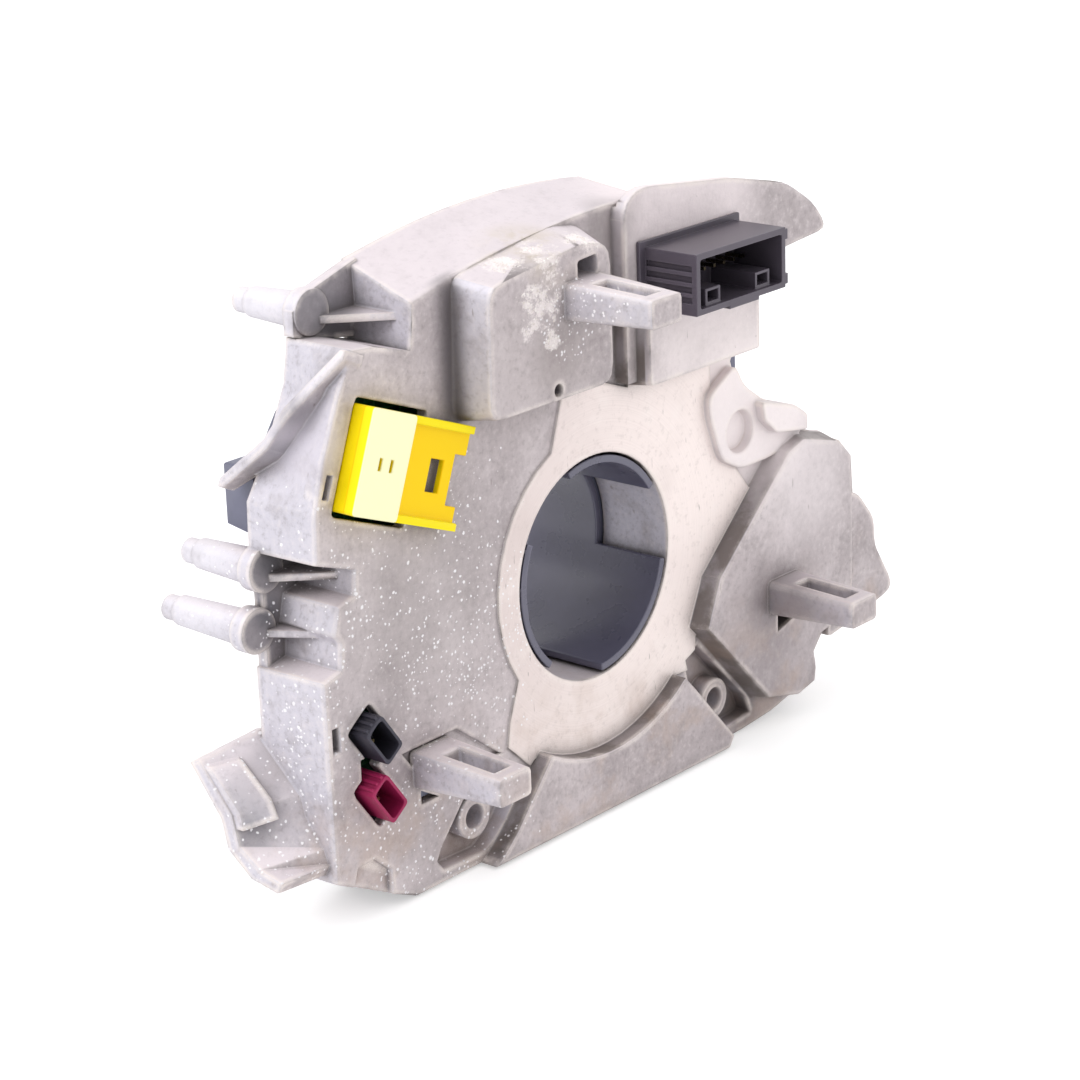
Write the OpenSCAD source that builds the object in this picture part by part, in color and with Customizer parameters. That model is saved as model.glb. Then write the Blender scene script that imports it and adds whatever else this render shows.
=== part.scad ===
// Steering column switch centre: a cast light-alloy housing with its plugs, board,
// angle sensor and slip ring. The viewed face is the rear one, towards the column (-Y).
// The origin is the centre of the bore on the rear face; +Z is up, +Y runs to the wheel.

/* [Housing shell] */
// Thickness of the cast walls
wall = 3; // [2.5:0.25:3.5]
// Depth of the side walls, from the rear face to the rim
rim_depth = 20; // [19:0.5:23]
// Distance from the bore to the left wall
left_reach = 91.5; // [90:0.5:94]
// Distance from the bore to the right wall
right_reach = 106; // [105:0.5:110]
// Distance from the bore down to the flat bottom
bottom_reach = 60.5; // [60:0.5:63]
// Height of the top arch above the bore, at the rear face
arch_height = 84.5; // [83:0.5:87]
// How far the top arch rises on its way to the rim
arch_draft = 4.5; // [2:0.5:6]
// Sideways draft of the other walls over their depth
side_draft = 0.8; // [0:0.1:1.5]
// Thickness of the tail flange at the top right
tail_t = 3; // [2:0.25:4]

/* [Bore] */
// Radius of the bore that the rotor sleeve turns in
bore_r = 27.5; // [26.5:0.25:28.5]
// Wall of the collar behind the bore
collar_wall = 3; // [2.5:0.25:3.5]
// Radius of the machined land round the bore
land_r = 35; // [34:0.5:37]
// Height of the machined land
land_h = 0.6; // [0.4:0.1:1]

/* [Raised pads and blocks] */
// Height of the left block
block_h = 10; // [8:0.5:11]
// Height of the lower block under the main plug
step_h = 8; // [6:0.5:9]
// Height of the plate that carries the main plug
plate_h = 4; // [3:0.5:5]
// Height of the right pad
right_pad_h = 6; // [5:0.5:7]
// Height of the lower pad
lower_pad_h = 5; // [4:0.5:6]
// Radius of the arc that cuts the lower pad
pad_arc_r = 45.5; // [44:0.5:47]

/* [Fixing bosses] */
// Distance between the two fixing screws
boss_spacing = 90.8; // [89:0.2:92]
// Drop of the fixing screws below the bore
boss_drop = 48.2; // [47:0.2:49]
// Radius of a fixing hole
boss_hole_r = 3; // [2.5:0.1:3.5]
// Radius of a fixing boss
boss_r = 5.4; // [5:0.1:6]
// Depth of the pocket round a fixing boss
pocket_d = 4.5; // [3.5:0.5:5.5]

/* [Prongs] */
// Width of a prong at its root
prong_w = 13; // [12:0.5:14]
// Height of a prong at its root
prong_t = 9; // [8:0.5:10]
// Length of a prong
prong_l = 25; // [22:0.5:28]
// Draft of a prong on each side, from root to tip
prong_draft = 1.1; // [0.5:0.1:1.5]
// Gap between the two arms of a prong
prong_gap = 5.4; // [4.8:0.2:6]
// Thickness of the bridge that joins the arms at the tip
prong_bridge = 4; // [3:0.5:5]

/* [Locating pins] */
// Radius of a locating pin's tip
pin_tip_r = 2.9; // [2.5:0.1:3.2]
// Length of the tip
pin_tip_l = 4; // [3:0.5:5]
// Radius of a locating pin at its root
pin_root_r = 4.2; // [3.8:0.1:4.6]
// Length of the top pin beyond the rim
top_pin_l = 18.5; // [17:0.5:20]
// Length of the upper left pin beyond the rim
upper_pin_l = 20.5; // [19:0.5:22]
// Length of the lower left pin beyond the rim
lower_pin_l = 24.5; // [23:0.5:26]

/* [Main plug] */
// Width of the main plug's shroud
plug_w = 34.5; // [33:0.5:36]
// Height of the main plug's shroud
plug_h = 14.6; // [14:0.2:16]
// How far the shroud stands out of its plate
plug_out = 16; // [14:0.5:18]
// Wall of the shroud
plug_wall = 1.5; // [1.2:0.1:1.8]
// Distance of the main plug to the right of the bore
plug_x = 32.8; // [32:0.2:34]
// Drop of the main plug below the top arch
plug_drop = 17.1; // [16.6:0.1:17.6]
// Number of terminals in each row
plug_pins = 8; // [6:1:9]

/* [Yellow socket] */
// Width of the yellow block
yellow_w = 14.2; // [13.6:0.1:14.8]
// Height of the yellow block
yellow_h = 23.6; // [23:0.1:24.2]
// How far the yellow block stands out of the face
yellow_out = 5.75; // [5:0.25:6.5]
// Length of the flat latch frame beside the block
latch_l = 21.4; // [20:0.2:22.6]
// Turn of the yellow socket, clockwise
yellow_turn = 21; // [18:0.5:24]

/* [Small sockets] */
// Length of a small socket's mouth
small_l = 11; // [10.4:0.1:11.4]
// Breadth of a small socket's mouth
small_b = 6.4; // [6:0.1:6.8]
// Wall of a small socket
small_wall = 0.8; // [0.6:0.1:1]
// How far the small sockets stand out of the face
small_out = 4; // [3:0.25:5]
// Distance between the two small sockets
small_pitch = 14.2; // [14.1:0.1:14.7]
// Turn of the small sockets, clockwise
small_turn = 54; // [50:1:58]

/* [Board and sensor] */
// Depth of the circuit board's rear side
board_y = 13; // [12.5:0.25:13.5]
// Thickness of the circuit board
board_t = 1.6; // [1:0.2:2]
// Radius of the code ring's skirt
code_r = 35.5; // [35:0.25:36]
// Number of windows in the code ring
code_windows = 36; // [24:4:48]
// Clearance between the code ring and the sensor's posts
code_gap = 0.6; // [0.5:0.05:0.8]

/* [Rotor] */
// Running clearance between the sleeve and the bore
sleeve_gap = 0.6; // [0.4:0.1:0.8]
// Wall of the rotor's sleeve
sleeve_wall = 1.9; // [1.7:0.1:2.2]
// Angle of each gap between the sleeve's fingers
finger_gap = 44; // [38:1:50]
// Length of the gaps between the fingers
finger_l = 20; // [17:0.5:21]
// Radius of the rotor's front disc
disc_r = 46; // [44:0.5:48]
// Thickness of the rotor's front disc
disc_t = 2.5; // [2:0.25:3]
// Height of the plugs on the rotor's front
front_plug_h = 11; // [9:0.5:13]

/* [Slip ring case] */
// Outer radius of the slip ring case
case_r = 52; // [51:0.5:54]
// Depth of the slip ring case
case_depth = 14; // [12:0.5:16]
// Wall of the slip ring case
case_wall = 1.8; // [1.6:0.1:2.2]
// Turns of the flat cable
cable_turns = 5; // [3:1:6]
// Running clearance between the case and the rotor
case_gap = 0.8; // [0.6:0.1:1]

/* [Carrier] */
// Thickness of the carrier plate
carrier_t = 2.6; // [2.2:0.2:3]
// Height of the stalk bays on the carrier
bay_h = 10; // [8:0.5:11]
// Length of the stalk bays along X
bay_l = 28; // [24:1:30]
// Width of the stalk bays along Z
bay_w = 16; // [14:1:18]
// Wall of the stalk bays
bay_wall = 1.8; // [1.5:0.1:2.2]

/* [Hidden] */
$fn = 48;
eps = 0.02;
sink = 1;

// Mating sizes that several pieces share
sleeve_r = bore_r - sleeve_gap;
shaft_r = sleeve_r - sleeve_wall;
collar_r = bore_r + collar_wall;
board_front = board_y + board_t;
carrier_y = rim_depth;
carrier_front = carrier_y + carrier_t;
case_y = carrier_front;
case_front = case_y + case_depth;
cover_t = case_wall;
disc_y = case_front + cover_t + case_gap;
hub_r = sleeve_r + 5.5;
cover_hole_r = hub_r + 4;
post_x = boss_spacing / 2;
plug_z = arch_height - plug_drop;

// Places of the pieces on the rear face, as [x, z]
yellow_at = [20.9 - left_reach, 43.4];
small_at = [13.9 - left_reach, -17.6];
top_pin_at = [19.4 - left_reach, 74.9];
upper_pin_at = [1 - left_reach, 21.5];
lower_pin_at = [-2.5 - left_reach, 8.4];
left_prong_at = [32.7 - left_reach, -30];
right_prong_at = [67, -24.6];
top_prong_at = [-13.2, 69.6];
relief_hole_at = [-22.4, 50];
board_posts = [[-42, -32], [36, -31], [44, 34], [-43, 57]];
carrier_bosses = [[8 - left_reach, -42.5], [75, -51.5], [97, -9], [50.4, 51], [-49, 67]];
case_ears = [45, 135, 225, 315];

// Points on an arc about c, from angle a to angle b
function arc(c, r, a, b, n) =
  [for (i = [0:n]) let (t = a + (b - a) * i / n) [c.x + r * cos(t), c.y + r * sin(t)]];

// Points on the flat arch that joins p to q and rises by h between them
function arch(p, q, h, n) =
  [for (i = [0:n]) let (t = i / n) [p.x + (q.x - p.x) * t, p.y + (q.y - p.y) * t + 4 * h * t * (1 - t)]];

// Closed outline with every corner rounded by about r
function soft(pts, r, n = 3) = let (m = len(pts)) [
  for (i = [0:m - 1]) let (
    p = pts[i], a = pts[(i + m - 1) % m], b = pts[(i + 1) % m],
    da = min(r, 0.45 * norm(a - p)), db = min(r, 0.45 * norm(b - p)),
    s = p + (a - p) * da / norm(a - p), e = p + (b - p) * db / norm(b - p))
  for (k = [0:n]) let (t = k / n) (1 - t) * (1 - t) * s + 2 * t * (1 - t) * p + t * t * e];

// Closed outline moved inwards by d; the points run anticlockwise
function inset(pts, d) = let (m = len(pts)) [
  for (i = [0:m - 1]) let (
    p = pts[i], u = unit(p - pts[(i + m - 1) % m]), v = unit(pts[(i + 1) % m] - p),
    nu = [-u.y, u.x], nv = [-v.y, v.x], w = nu + nv)
  p + w * (2 * d / max(w * w, 0.8))];
function unit(v) = v / norm(v);

// Mean of a list of points
function mean(pts) = [for (p = pts) 1] * pts / len(pts);

// Rectangle of points about c
function box_pts(c, w, h) =
  [[c.x - w / 2, c.y - h / 2], [c.x + w / 2, c.y - h / 2], [c.x + w / 2, c.y + h / 2], [c.x - w / 2, c.y + h / 2]];

// Outline of [x, z] points, thick from depth y0 to depth y1
module slab(y0, y1) {
  translate([0, y1, 0]) rotate([90, 0, 0]) linear_extrude(y1 - y0) children();
}

// Round bar along Y at [x, z], from depth y0 to depth y1
module bar(at, r0, r1, y0, y1) {
  translate([at.x, y0, at.y]) rotate([-90, 0, 0]) cylinder(h = y1 - y0, r1 = r0, r2 = r1);
}

// Solid between the outline a at depth y0 and the outline b at depth y1. Each end is a fan of
// triangles about c, which every point of the outline must be able to see; the mean point by default
module loft(a, b, y0, y1, c = undef) {
  m = len(a);
  ca = is_undef(c) ? mean(a) : c;
  cb = is_undef(c) ? mean(b) : c;
  polyhedron(
    points = concat([for (p = a) [p.x, y0, p.y]], [for (p = b) [p.x, y1, p.y]],
      [[ca.x, y0, ca.y], [cb.x, y1, cb.y]]),
    faces = concat([for (i = [0:m - 1]) [2 * m, (i + 1) % m, i]],
      [for (i = [0:m - 1]) [2 * m + 1, m + i, m + (i + 1) % m]],
      [for (i = [0:m - 1]) [i, (i + 1) % m, m + i]],
      [for (i = [0:m - 1]) [(i + 1) % m, m + (i + 1) % m, m + i]]));
}

// Outline of the side walls at the rear face (f = 0) or at the rim (f = 1)
function rim_pts(f) = let (
  s = f * side_draft, l = left_reach + s, r = right_reach + s, b = bottom_reach + s,
  right_top = [21 + s, arch_height + 1 + f * arch_draft / 2],
  left_top = [-59, arch_height - 8 + f * (arch_draft + 2.8)]) concat(
  [[0.5 - l, -48.5], [17.5 - left_reach, 3.5 - b], [25.5 - left_reach, -b], [58, -b], [70, 1 - b], [84, 4 - b],
   [90 + s, 8 - b], [89 + s, 12 - b], [93 + s, -44], [r, -38], [r + 0.5, -11], [r - 0.5, 1],
   [100 + s, 6.5], [85 + s, 13], [84.7 + s, 17], [79.5, 20.6], [64.3, 26.5], [56 + s, 32],
   [54 + s, 38], [57 + s, 44], [57 + s, plug_z + 6.6], [50, plug_z + 10.6], [21 + s, plug_z + 11.6]],
  arch(right_top, left_top, 2.6 + f * 0.9, 12),
  [[-58.5, 72], [-59.5, 66]],
  [for (p = [[20.5, 69.4], [14.5, 70], [8.8 + 4 * f, 60.5], [3.2 + 3.4 * f, 47.6]])
    p - [left_reach, 0]],
  [[0.4 - l, 37], [-l, 25.8]],
  [for (p = [[11.5, 21.8], [11.1, 16], [5.9, 14.8], [4.3, 8.6], [6.1, 6.4], [5.5, 0.4]])
    p - [left_reach, 0]],
  [[0.1 - l, -1]]);

// Outline of the hollow inside the side walls, a wall's thickness in from them
function hollow_pts(f) = let (
  d = wall, s = f * side_draft, l = left_reach + s, r = right_reach + s, b = bottom_reach + s,
  top = arch_height + f * arch_draft / 2) [
  [d - l, d - 47], [19.5 - left_reach, d - b + 4], [27.5 - left_reach, d - b], [57, d - b], [80, d - b + 5], [85, d - 47],
  [r - d, d - 37], [r - d, -2], [96, 2], [81, 8], [78, 15], [62, 21], [53 - d, 29], [53 - d, 41],
  [57 + s - d, 46], [57 + s - d, plug_z + 4.6], [50, plug_z + 10.5 - d], [21 + s - d, plug_z + 11.2 - d], [20 - d, top - d + 1],
  [-19, top - d], [-55, top - d - 7], [-56, 64], [21.5 - left_reach, 66 - d],
  [d + 14.5 - left_reach, 58], [d + 8.5 - left_reach, 47],
  [d - l + 0.4, 36], [d - l + 1, 27 + d], [15.5 - left_reach, 24], [14.5 - left_reach, 13],
  [10.5 - left_reach, 10], [9.5 - left_reach, -1 - d],
  [d - l + 0.1, -4 - d]];

// Arm of a prong: a drafted bar that reaches rearwards from depth y0
module prong(at, y0) {
  root = box_pts(at, prong_w, prong_t);
  tip = box_pts(at, prong_w - 2 * prong_draft, prong_t - 2 * prong_draft);
  difference() {
    loft(soft(tip, 1.2, 2), soft(root, 1.2, 2), y0 - prong_l, y0 + sink);
    translate([at.x - prong_gap / 2, y0 - prong_l + prong_bridge, at.y - prong_t])
      cube([prong_gap, prong_l * 0.6, 2 * prong_t]);
  }
}

// Locating pin: a tapered shank with a stepped tip, from the rim forwards
module locating_pin(at, length) {
  shank = length - pin_tip_l;
  bar(at, pin_root_r + 1, pin_root_r + 1, rim_depth - wall - 0.5, rim_depth + 0.5);
  bar(at, pin_root_r, pin_tip_r + 0.6, rim_depth - eps, rim_depth + shank);
  bar(at, pin_tip_r, pin_tip_r, rim_depth + shank - eps, rim_depth + length);
}

left_block_pts = [[-45, 47.6], [-2.7, 47.6], [-2.9, 79.5], [-12, 82], [-44.4, 77.8]];
left_block_foot = [[-46.6, 46.3], [-1.4, 46.3], [-1.4, 83], [-12, 84.6], [-46, 79.5]];
step_pts = [[13, 42.4], [55.4, 42.4], [55.4, 58.2], [13, 58.2]];
step_foot = [[12.2, 41.4], [56.4, 41.4], [56.4, 59.4], [12.2, 59.4]];
right_pad_pts = [[70.4, 11.4], [41.4, -13.9], [36.2, -25.4], [61, -51.4], [74, -54.6], [81, -53],
  [81.6, -49.5], [80.7, -44.8], [84, -40.7], [98, -38], [97.9, -7.6], [97, 4.6], [91, 9.5],
  [77, 13.4]];
right_pad_foot = [[70.2, 13], [40.2, -13.6], [34.6, -25.6], [60.4, -53], [74, -56.6], [84, -54],
  [84, -49.5], [83.2, -45], [86, -42.4], [100, -39.6], [100, -7.6], [99, 5], [92, 11], [77, 15]];
tail_pts = [[50, arch_height + 0.3], [15.6, 4.2 + arch_height], [9.4, 1 + arch_height],
  [9.4, 70], [56.8, 62], [73.6, 63.6], [90, 65], [84.5, 72.4], [73, 79.6]];
lower_pad_pts = concat([[-43.7, -bottom_reach], [-39.3, -57], [-35.6, -53.8]],
  [for (p = arc([0, 0], pad_arc_r, 240, 308, 12)) p],
  [[31.4, -39.4], [47.6, -57.6], [45.6, -bottom_reach]]);
left_pocket_pts = [[-48.3, -42.6], [-56.6, -51.8], [-58.3, -55], [-56.2, -57.6], [-42.4, -58],
  [-38.8, -56], [-34.8, -52.6], [-28.6, -45], [-38, -41]];
right_pocket_pts = [[50.4, -57.4], [60.6, -56.6], [58.6, -51.6], [39, -31.6], [33.4, -34],
  [35.2, -40.6]];

// Outline of one small socket, grown by extra on each side
module small_outline(i, extra) {
  translate(small_at - [(i == 0 ? 0 : -0.7), i * small_pitch]) rotate(-small_turn)
    polygon(soft(box_pts([0, 0], small_l + 2 * extra, small_b + 2 * extra), 1, 2));
}

// Openings that go right through the rear face
module face_openings() {
  slab(-20, wall + sink) {
    translate(yellow_at) rotate(-yellow_turn) polygon(soft(box_pts([0, 0], yellow_w + 9.2, yellow_h + 2.6), 1, 3));
    small_outline(0, 1.2);
    small_outline(1, 1.2);
    translate(small_at - [1.6, small_pitch / 2]) square([4, 5], center = true);
    translate([4.6 - left_reach, 42.1]) rotate(-yellow_turn) square([1.8, 5.4], center = true);
    translate([3.1 - left_reach, -15.2]) square([1.9, 5.6], center = true);
    translate(left_prong_at) polygon([[-4.2, -5.6], [1.8, -9], [-4.2, -9]]);
    polygon([[64.8, -30.2], [72, -32.6], [64.8, -34.6]]);
  }
  slab(-block_h - 1, wall + sink)
    polygon(soft([[-14.6, 74], [-8, 74], [-8, 78.5], [-14.6, 78]], 0.8, 2));
  slab(-step_h - 2, wall + sink)
    translate([plug_x, plug_z]) square([plug_w + 0.4, plug_h + 0.4], center = true);
}

// Bright machined land round the bore, which runs out to the pads and blocks
module land() {
  slab(-land_h, sink) polygon(concat(
    arc([0, 0], land_r, 115, 214, 10), [[-32.5, -29], [-33.5, -35], [-26, -42]],
    arc([0, 0], pad_arc_r + 1, 240, 308, 6),
    [[37, -37], [38, -25], [44, -14.6], [62, 2], [50, 17], [46, 23], [45, 31], [45, 44], [13.4, 44],
     [13.4, 40.9], [-3.4, 47], [-3.4, 49], [-9, 49]]));
}

// Boss with its recess and the stepped block beside it, at the upper right
module corner_boss() {
  difference() {
    union() {
      slab(-2.6, sink) polygon(soft([[42, 32], [42.6, 26], [47, 14.6], [54.6, 10.6], [66, 10.6], [80, 13.4],
        [80, 20], [64.3, 26.3], [56.4, 31.8], [53, 38]], 2.5, 3));
      slab(-5.4, sink) polygon(soft([[60, 27], [73.6, 23.2], [79, 19.6], [79, 15.4], [66, 17.6], [61, 22]], 1, 2));
    }
    bar([54.4, 20.4], 5.6, 4.4, -3, 1.6);
    bar([55, 19.6], 1.9, 1.9, -3, wall + 1);
  }
}

// Ear at the right edge, behind the right prong
module right_ear() {
  slab(-2, 2) polygon(soft([[98, -6], [106.5, -9.6], [113.4, -17.8], [114, -25.6], [121.6, -37.4],
    [120.6, -40.6], [104, -44], [92, -45.6]], 2, 2));
}

// Fin on the upper left wall: a wavy web that ends in a tip beyond the rim
module fin() {
  stations = [[[14.1, 0.4, 68.6], 3], [[7.3, 9.6, 55.6], 5], [[4.1, 14, 49], 4], [[0.3, 26.4, 39.4], 2]];
  translate([-left_reach, 0, 0]) for (i = [0:2]) hull() for (k = [i, i + 1])
    translate(stations[k][0]) rotate([0, 25, 0]) cube([stations[k][1] * 2, 1.6, 2], center = true);
}

// Bent plate between a row of stations at x0 and one at x1, each station as [y, z]
module bent_plate(x0, x1, near, far, skin) {
  m = len(near);
  k = 2 * m;
  back = [for (i = [m - 1:-1:0]) skin[i]];
  near_pts = concat(near, [for (i = [0:m - 1]) near[m - 1 - i] + back[i]]);
  far_pts = concat(far, [for (i = [0:m - 1]) far[m - 1 - i] + back[i]]);
  polyhedron(
    points = concat([for (p = near_pts) [x0, p.x, p.y]], [for (p = far_pts) [x1, p.x, p.y]]),
    faces = concat([for (i = [0:m - 2]) [k - 2 - i, k - 1 - i, i]], [for (i = [0:m - 2]) [k - 2 - i, i, i + 1]],
      [for (i = [0:m - 2]) [k + i, 2 * k - 1 - i, 2 * k - 2 - i]], [for (i = [0:m - 2]) [k + i + 1, k + i, 2 * k - 2 - i]],
      [for (i = [0:k - 1]) [i, (i + 1) % k, k + i]],
      [for (i = [0:k - 1]) [(i + 1) % k, k + (i + 1) % k, k + i]]));
}

// Foot at the lower left: a bent plate that leans rearwards as it goes down, with a raised pad
module foot() {
  near = [[20.6, -16], [8.2, -29], [7.3, -33.3], [2.7, -40.5], [1.6, -44]];
  far = [[26.7, -20.6], [17.3, -31.3], [15.6, -38.2], [9.4, -42.2], [2.6, -43.6]];
  skin = [[3, -1], [3.6, -1.6], [3.6, -1.8], [3, -3], [1.6, -3]];
  bent_plate(1.5 - left_reach, -13.6 - left_reach, near, far, skin);
  bent_plate(-6.5 - left_reach, -13.2 - left_reach, [[20.2, -21], [11.4, -28.4], [9.4, -32.6]],
    [[23.6, -21.8], [15.4, -30.4], [14.6, -34.6]], [[4, 0], [4, 0], [4, 0]]);
}

// Plates that close the two notches in the left wall and carry the locating pins
module pin_plates() {
  slab(rim_depth - wall, rim_depth) {
    polygon(concat([[-57, 84], [-57, 66.5]],
      [for (p = [[21.5, 68.4], [13.9, 70.4], [13.9, 76], [19.5, 79.6]]) p - [left_reach, 0]]));
    polygon([for (p = [[0, 27], [13.5, 23], [13.5, 15], [7.5, 13], [7.5, -2], [0, -2]])
      p - [left_reach, 0]]);
  }
  for (rib = [[-58, 21.5 - left_reach, 72], [12.5 - left_reach, 1.5 - left_reach, 18.8],
    [7.5 - left_reach, -left_reach, 6.4]])
    translate([0, 0, rib[2]]) linear_extrude(1.6)
      polygon([[rib[0], 4], [rib[0], rim_depth - 1], [rib[1], rim_depth - 1], [rib[1], rim_depth - 4]]);
}

// Everything cast outside the shell
module cast_reliefs() {
  land();
  loft(soft(left_block_pts, 4), soft(left_block_foot, 3), -block_h, sink);
  loft(soft(step_pts, 1), soft(step_foot, 1), -step_h, sink);
  slab(-plate_h, tail_t - plate_h) polygon(soft(tail_pts, 4, 3));
  slab(-plate_h, sink) polygon([[9.4, 43], [56.2, 43], [56.2, 74], [48, 77], [20, 80], [9.4, 82]]);
  slab(-plate_h, sink) intersection() {
    polygon(soft(tail_pts, 4, 3));
    polygon(inset(rim_pts(0), 0.8));
  }
  loft(right_pad_pts, right_pad_foot, -right_pad_h, sink);
  slab(-lower_pad_h, sink) polygon(lower_pad_pts);
  corner_boss();
  right_ear();
  fin();
  foot();
  pin_plates();
  prong(left_prong_at, 0);
  prong(right_prong_at, -right_pad_h);
  prong(top_prong_at, 1 - block_h);
  locating_pin(top_pin_at, top_pin_l);
  locating_pin(upper_pin_at, upper_pin_l);
  locating_pin(lower_pin_at, lower_pin_l);
}

// Posts and bosses that stand inside the shell
module inner_posts() {
  bar([0, 0], collar_r, collar_r, wall - sink, rim_depth);
  for (p = board_posts) bar(p, 3.6, 3, wall - sink, board_y);
  for (p = carrier_bosses) bar(p, 4.2, 3.8, wall - sink, rim_depth);
}

module housing() {
  color([0.76, 0.73, 0.72]) difference() {
    union() {
      difference() {
        union() {
          difference() {
            loft(rim_pts(0), rim_pts(1), 0, rim_depth, [0, 0]);
            loft(hollow_pts(0), hollow_pts(1), wall, rim_depth + 1, [0, 0]);
            slab(-1, wall * 0.4) translate(left_prong_at)
              polygon([[-9.4, 4.9], [-4, -2], [14, -5.4], [23.4, -5.8], [8.8, 5.1]]);
            slab(-1, wall * 0.6) translate([-left_reach, 0])
              polygon([[7.6, -47.2], [13, -46.9], [17.9, -51.2], [18.1, -60], [5.6, -53]]);
          }
          slab(1, pocket_d + wall) {
            polygon(inset(left_pocket_pts, -wall));
            polygon(inset(right_pocket_pts, -wall));
          }
          cast_reliefs();
        }
        slab(-lower_pad_h - 1, pocket_d) {
          polygon(left_pocket_pts);
          polygon(right_pocket_pts);
        }
      }
      for (x = [-post_x, post_x]) bar([x, -boss_drop], boss_r, boss_r, 0, pocket_d + wall);
      inner_posts();
    }
    face_openings();
    bar([0, 0], bore_r, bore_r, -20, rim_depth + 1);
    bar(relief_hole_at, 1.5, 1.5, -block_h - 1, wall + 1);
    for (x = [-post_x, post_x]) bar([x, -boss_drop], boss_hole_r, boss_hole_r, -1, pocket_d + wall + 1);
    for (p = board_posts) bar(p, 1.2, 1.2, wall + 3, board_y + 1);
    for (p = carrier_bosses) bar(p, 1.6, 1.6, wall + 6, rim_depth + 1);
  }
}

// Terminal places of the main plug, as [x, z]
main_terminals = [for (i = [0:plug_pins - 1], row = [-1, 1])
  [plug_x + (i - (plug_pins - 1) / 2) * (plug_w - 8) / (plug_pins - 1), plug_z + 1.8 + row * plug_h * 0.13]];
plug_floor = -plate_h - 1.5;

// Straight terminal of square section, from depth y0 to depth y1
module blade(at, w, h, y0, y1) {
  translate([at.x - w / 2, y0, at.y - h / 2]) cube([w, y1 - y0, h]);
}

module main_plug() {
  mouth = -plate_h - plug_out;
  color([0.16, 0.16, 0.17]) difference() {
    union() {
      slab(mouth, board_y) translate([plug_x, plug_z]) square([plug_w, plug_h], center = true);
      slab(-plate_h - 1, -plate_h) translate([plug_x, plug_z + 0.3]) square([plug_w + 4, plug_h + 2.4], center = true);
      slab(mouth, mouth + 3) {
        for (z = [-plug_h * 0.36, plug_h * 0.38])
          translate([plug_x + plug_w / 2, plug_z + z]) square([2, 2.6], center = true);
        translate([plug_x + 1, plug_z - plug_h / 2]) square([plug_w / 3, 1.6], center = true);
      }
    }
    slab(mouth - 1, plug_floor) translate([plug_x, plug_z])
      polygon(soft(box_pts([0, 0], plug_w - 2 * plug_wall, plug_h - 2 * plug_wall), 0.6, 2));
    slab(mouth + 1.4, -plate_h - 1.2) for (side = [-1, 1]) translate([plug_x + side * plug_w / 2, plug_z])
      difference() {
        square([plug_wall, plug_h - 5.8], center = true);
        for (k = [-1:1]) translate([0, k * 2.5]) square([plug_wall / 2, 1], center = true);
      }
    slab(-plate_h + eps, board_y + 1) difference() {
      translate([plug_x, plug_z]) square([plug_w + 2, plug_h + 2], center = true);
      translate([plug_x, plug_z]) square([plug_w - 1, plug_h - 1], center = true);
    }
    for (p = main_terminals) blade(p, 0.9, 0.9, plug_floor - 1, board_y + 1);
  }
  // Two hollow keys on the floor of the cavity
  color([0.16, 0.16, 0.17]) for (side = [-1, 1])
    translate([plug_x + side * plug_w / 3.6, mouth + 1.2, plug_z - plug_h / 2 + plug_wall]) difference() {
      translate([-2.9, 0, -eps]) cube([5.8, plug_out - 2.6, 4]);
      translate([-2, -1, 0.8]) cube([4, 8, 2.4]);
    }
}

module main_plug_pins() {
  color([0.78, 0.72, 0.5]) for (p = main_terminals)
    blade(p, 0.8, 0.8, plug_floor - 5, board_front + 1.4);
}

// Moves a flat drawing to the yellow socket's own axes
module at_yellow() {
  translate(yellow_at) rotate(-yellow_turn) children();
}
yellow_left = -yellow_w / 2 - 4.5;
yellow_terminals = [for (i = [-1.5:1:1.5]) yellow_at + [cos(yellow_turn), -sin(yellow_turn)] * (yellow_left + 8)
  + [sin(yellow_turn), cos(yellow_turn)] * i * 3.2];

latch_y = 1.4;
latch_t = 1.6;

module yellow_socket() {
  right = yellow_left + yellow_w;
  color([0.98, 0.83, 0.06]) difference() {
    union() {
      slab(-yellow_out, board_y) at_yellow()
        polygon(soft(box_pts([yellow_left + yellow_w / 2, 0], yellow_w, yellow_h), 0.8, 2));
      slab(-latch_y - latch_t, -latch_y) at_yellow() difference() {
        translate([right - 1, -yellow_h / 2]) square([latch_l + 1, yellow_h]);
        translate([right + latch_l - 3.6, -6.5]) square([5, 11.5]);
        translate([right + 10.2, -4.2]) square([4.2, 7.4]);
      }
      slab(-latch_y - latch_t - 1.2, -latch_y) at_yellow() for (v = [-yellow_h / 2, yellow_h / 2 - 1.8])
        translate([right - 1, v]) square([latch_l + 1, 1.8]);
    }
    slab(1, board_y + 1) at_yellow() difference() {
      translate([yellow_left - 1, -yellow_h]) square([yellow_w + 2, 2 * yellow_h]);
      translate([yellow_left + 5, -yellow_h / 2 + 3]) square([yellow_w - 6, yellow_h - 6]);
    }
    for (u = [5, 8.6]) slab(-yellow_out - 1, -yellow_out + 1.5) at_yellow()
      translate([yellow_left + u, -1.4]) square([0.9, 2.8]);
    for (p = yellow_terminals) blade(p, 0.9, 0.9, 3, board_y + 1);
  }
}

module yellow_socket_pins() {
  color([0.78, 0.72, 0.5]) for (p = yellow_terminals) blade(p, 0.8, 0.8, 3.2, board_front + 1.4);
}

small_floor = 4;
function small_centre(i) = small_at - [(i == 0 ? 0 : -0.7), i * small_pitch];
small_terminals = [for (i = [0, 1], k = [-1, 1]) small_centre(i)
  + [cos(small_turn), -sin(small_turn)] * k * 2];

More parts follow.
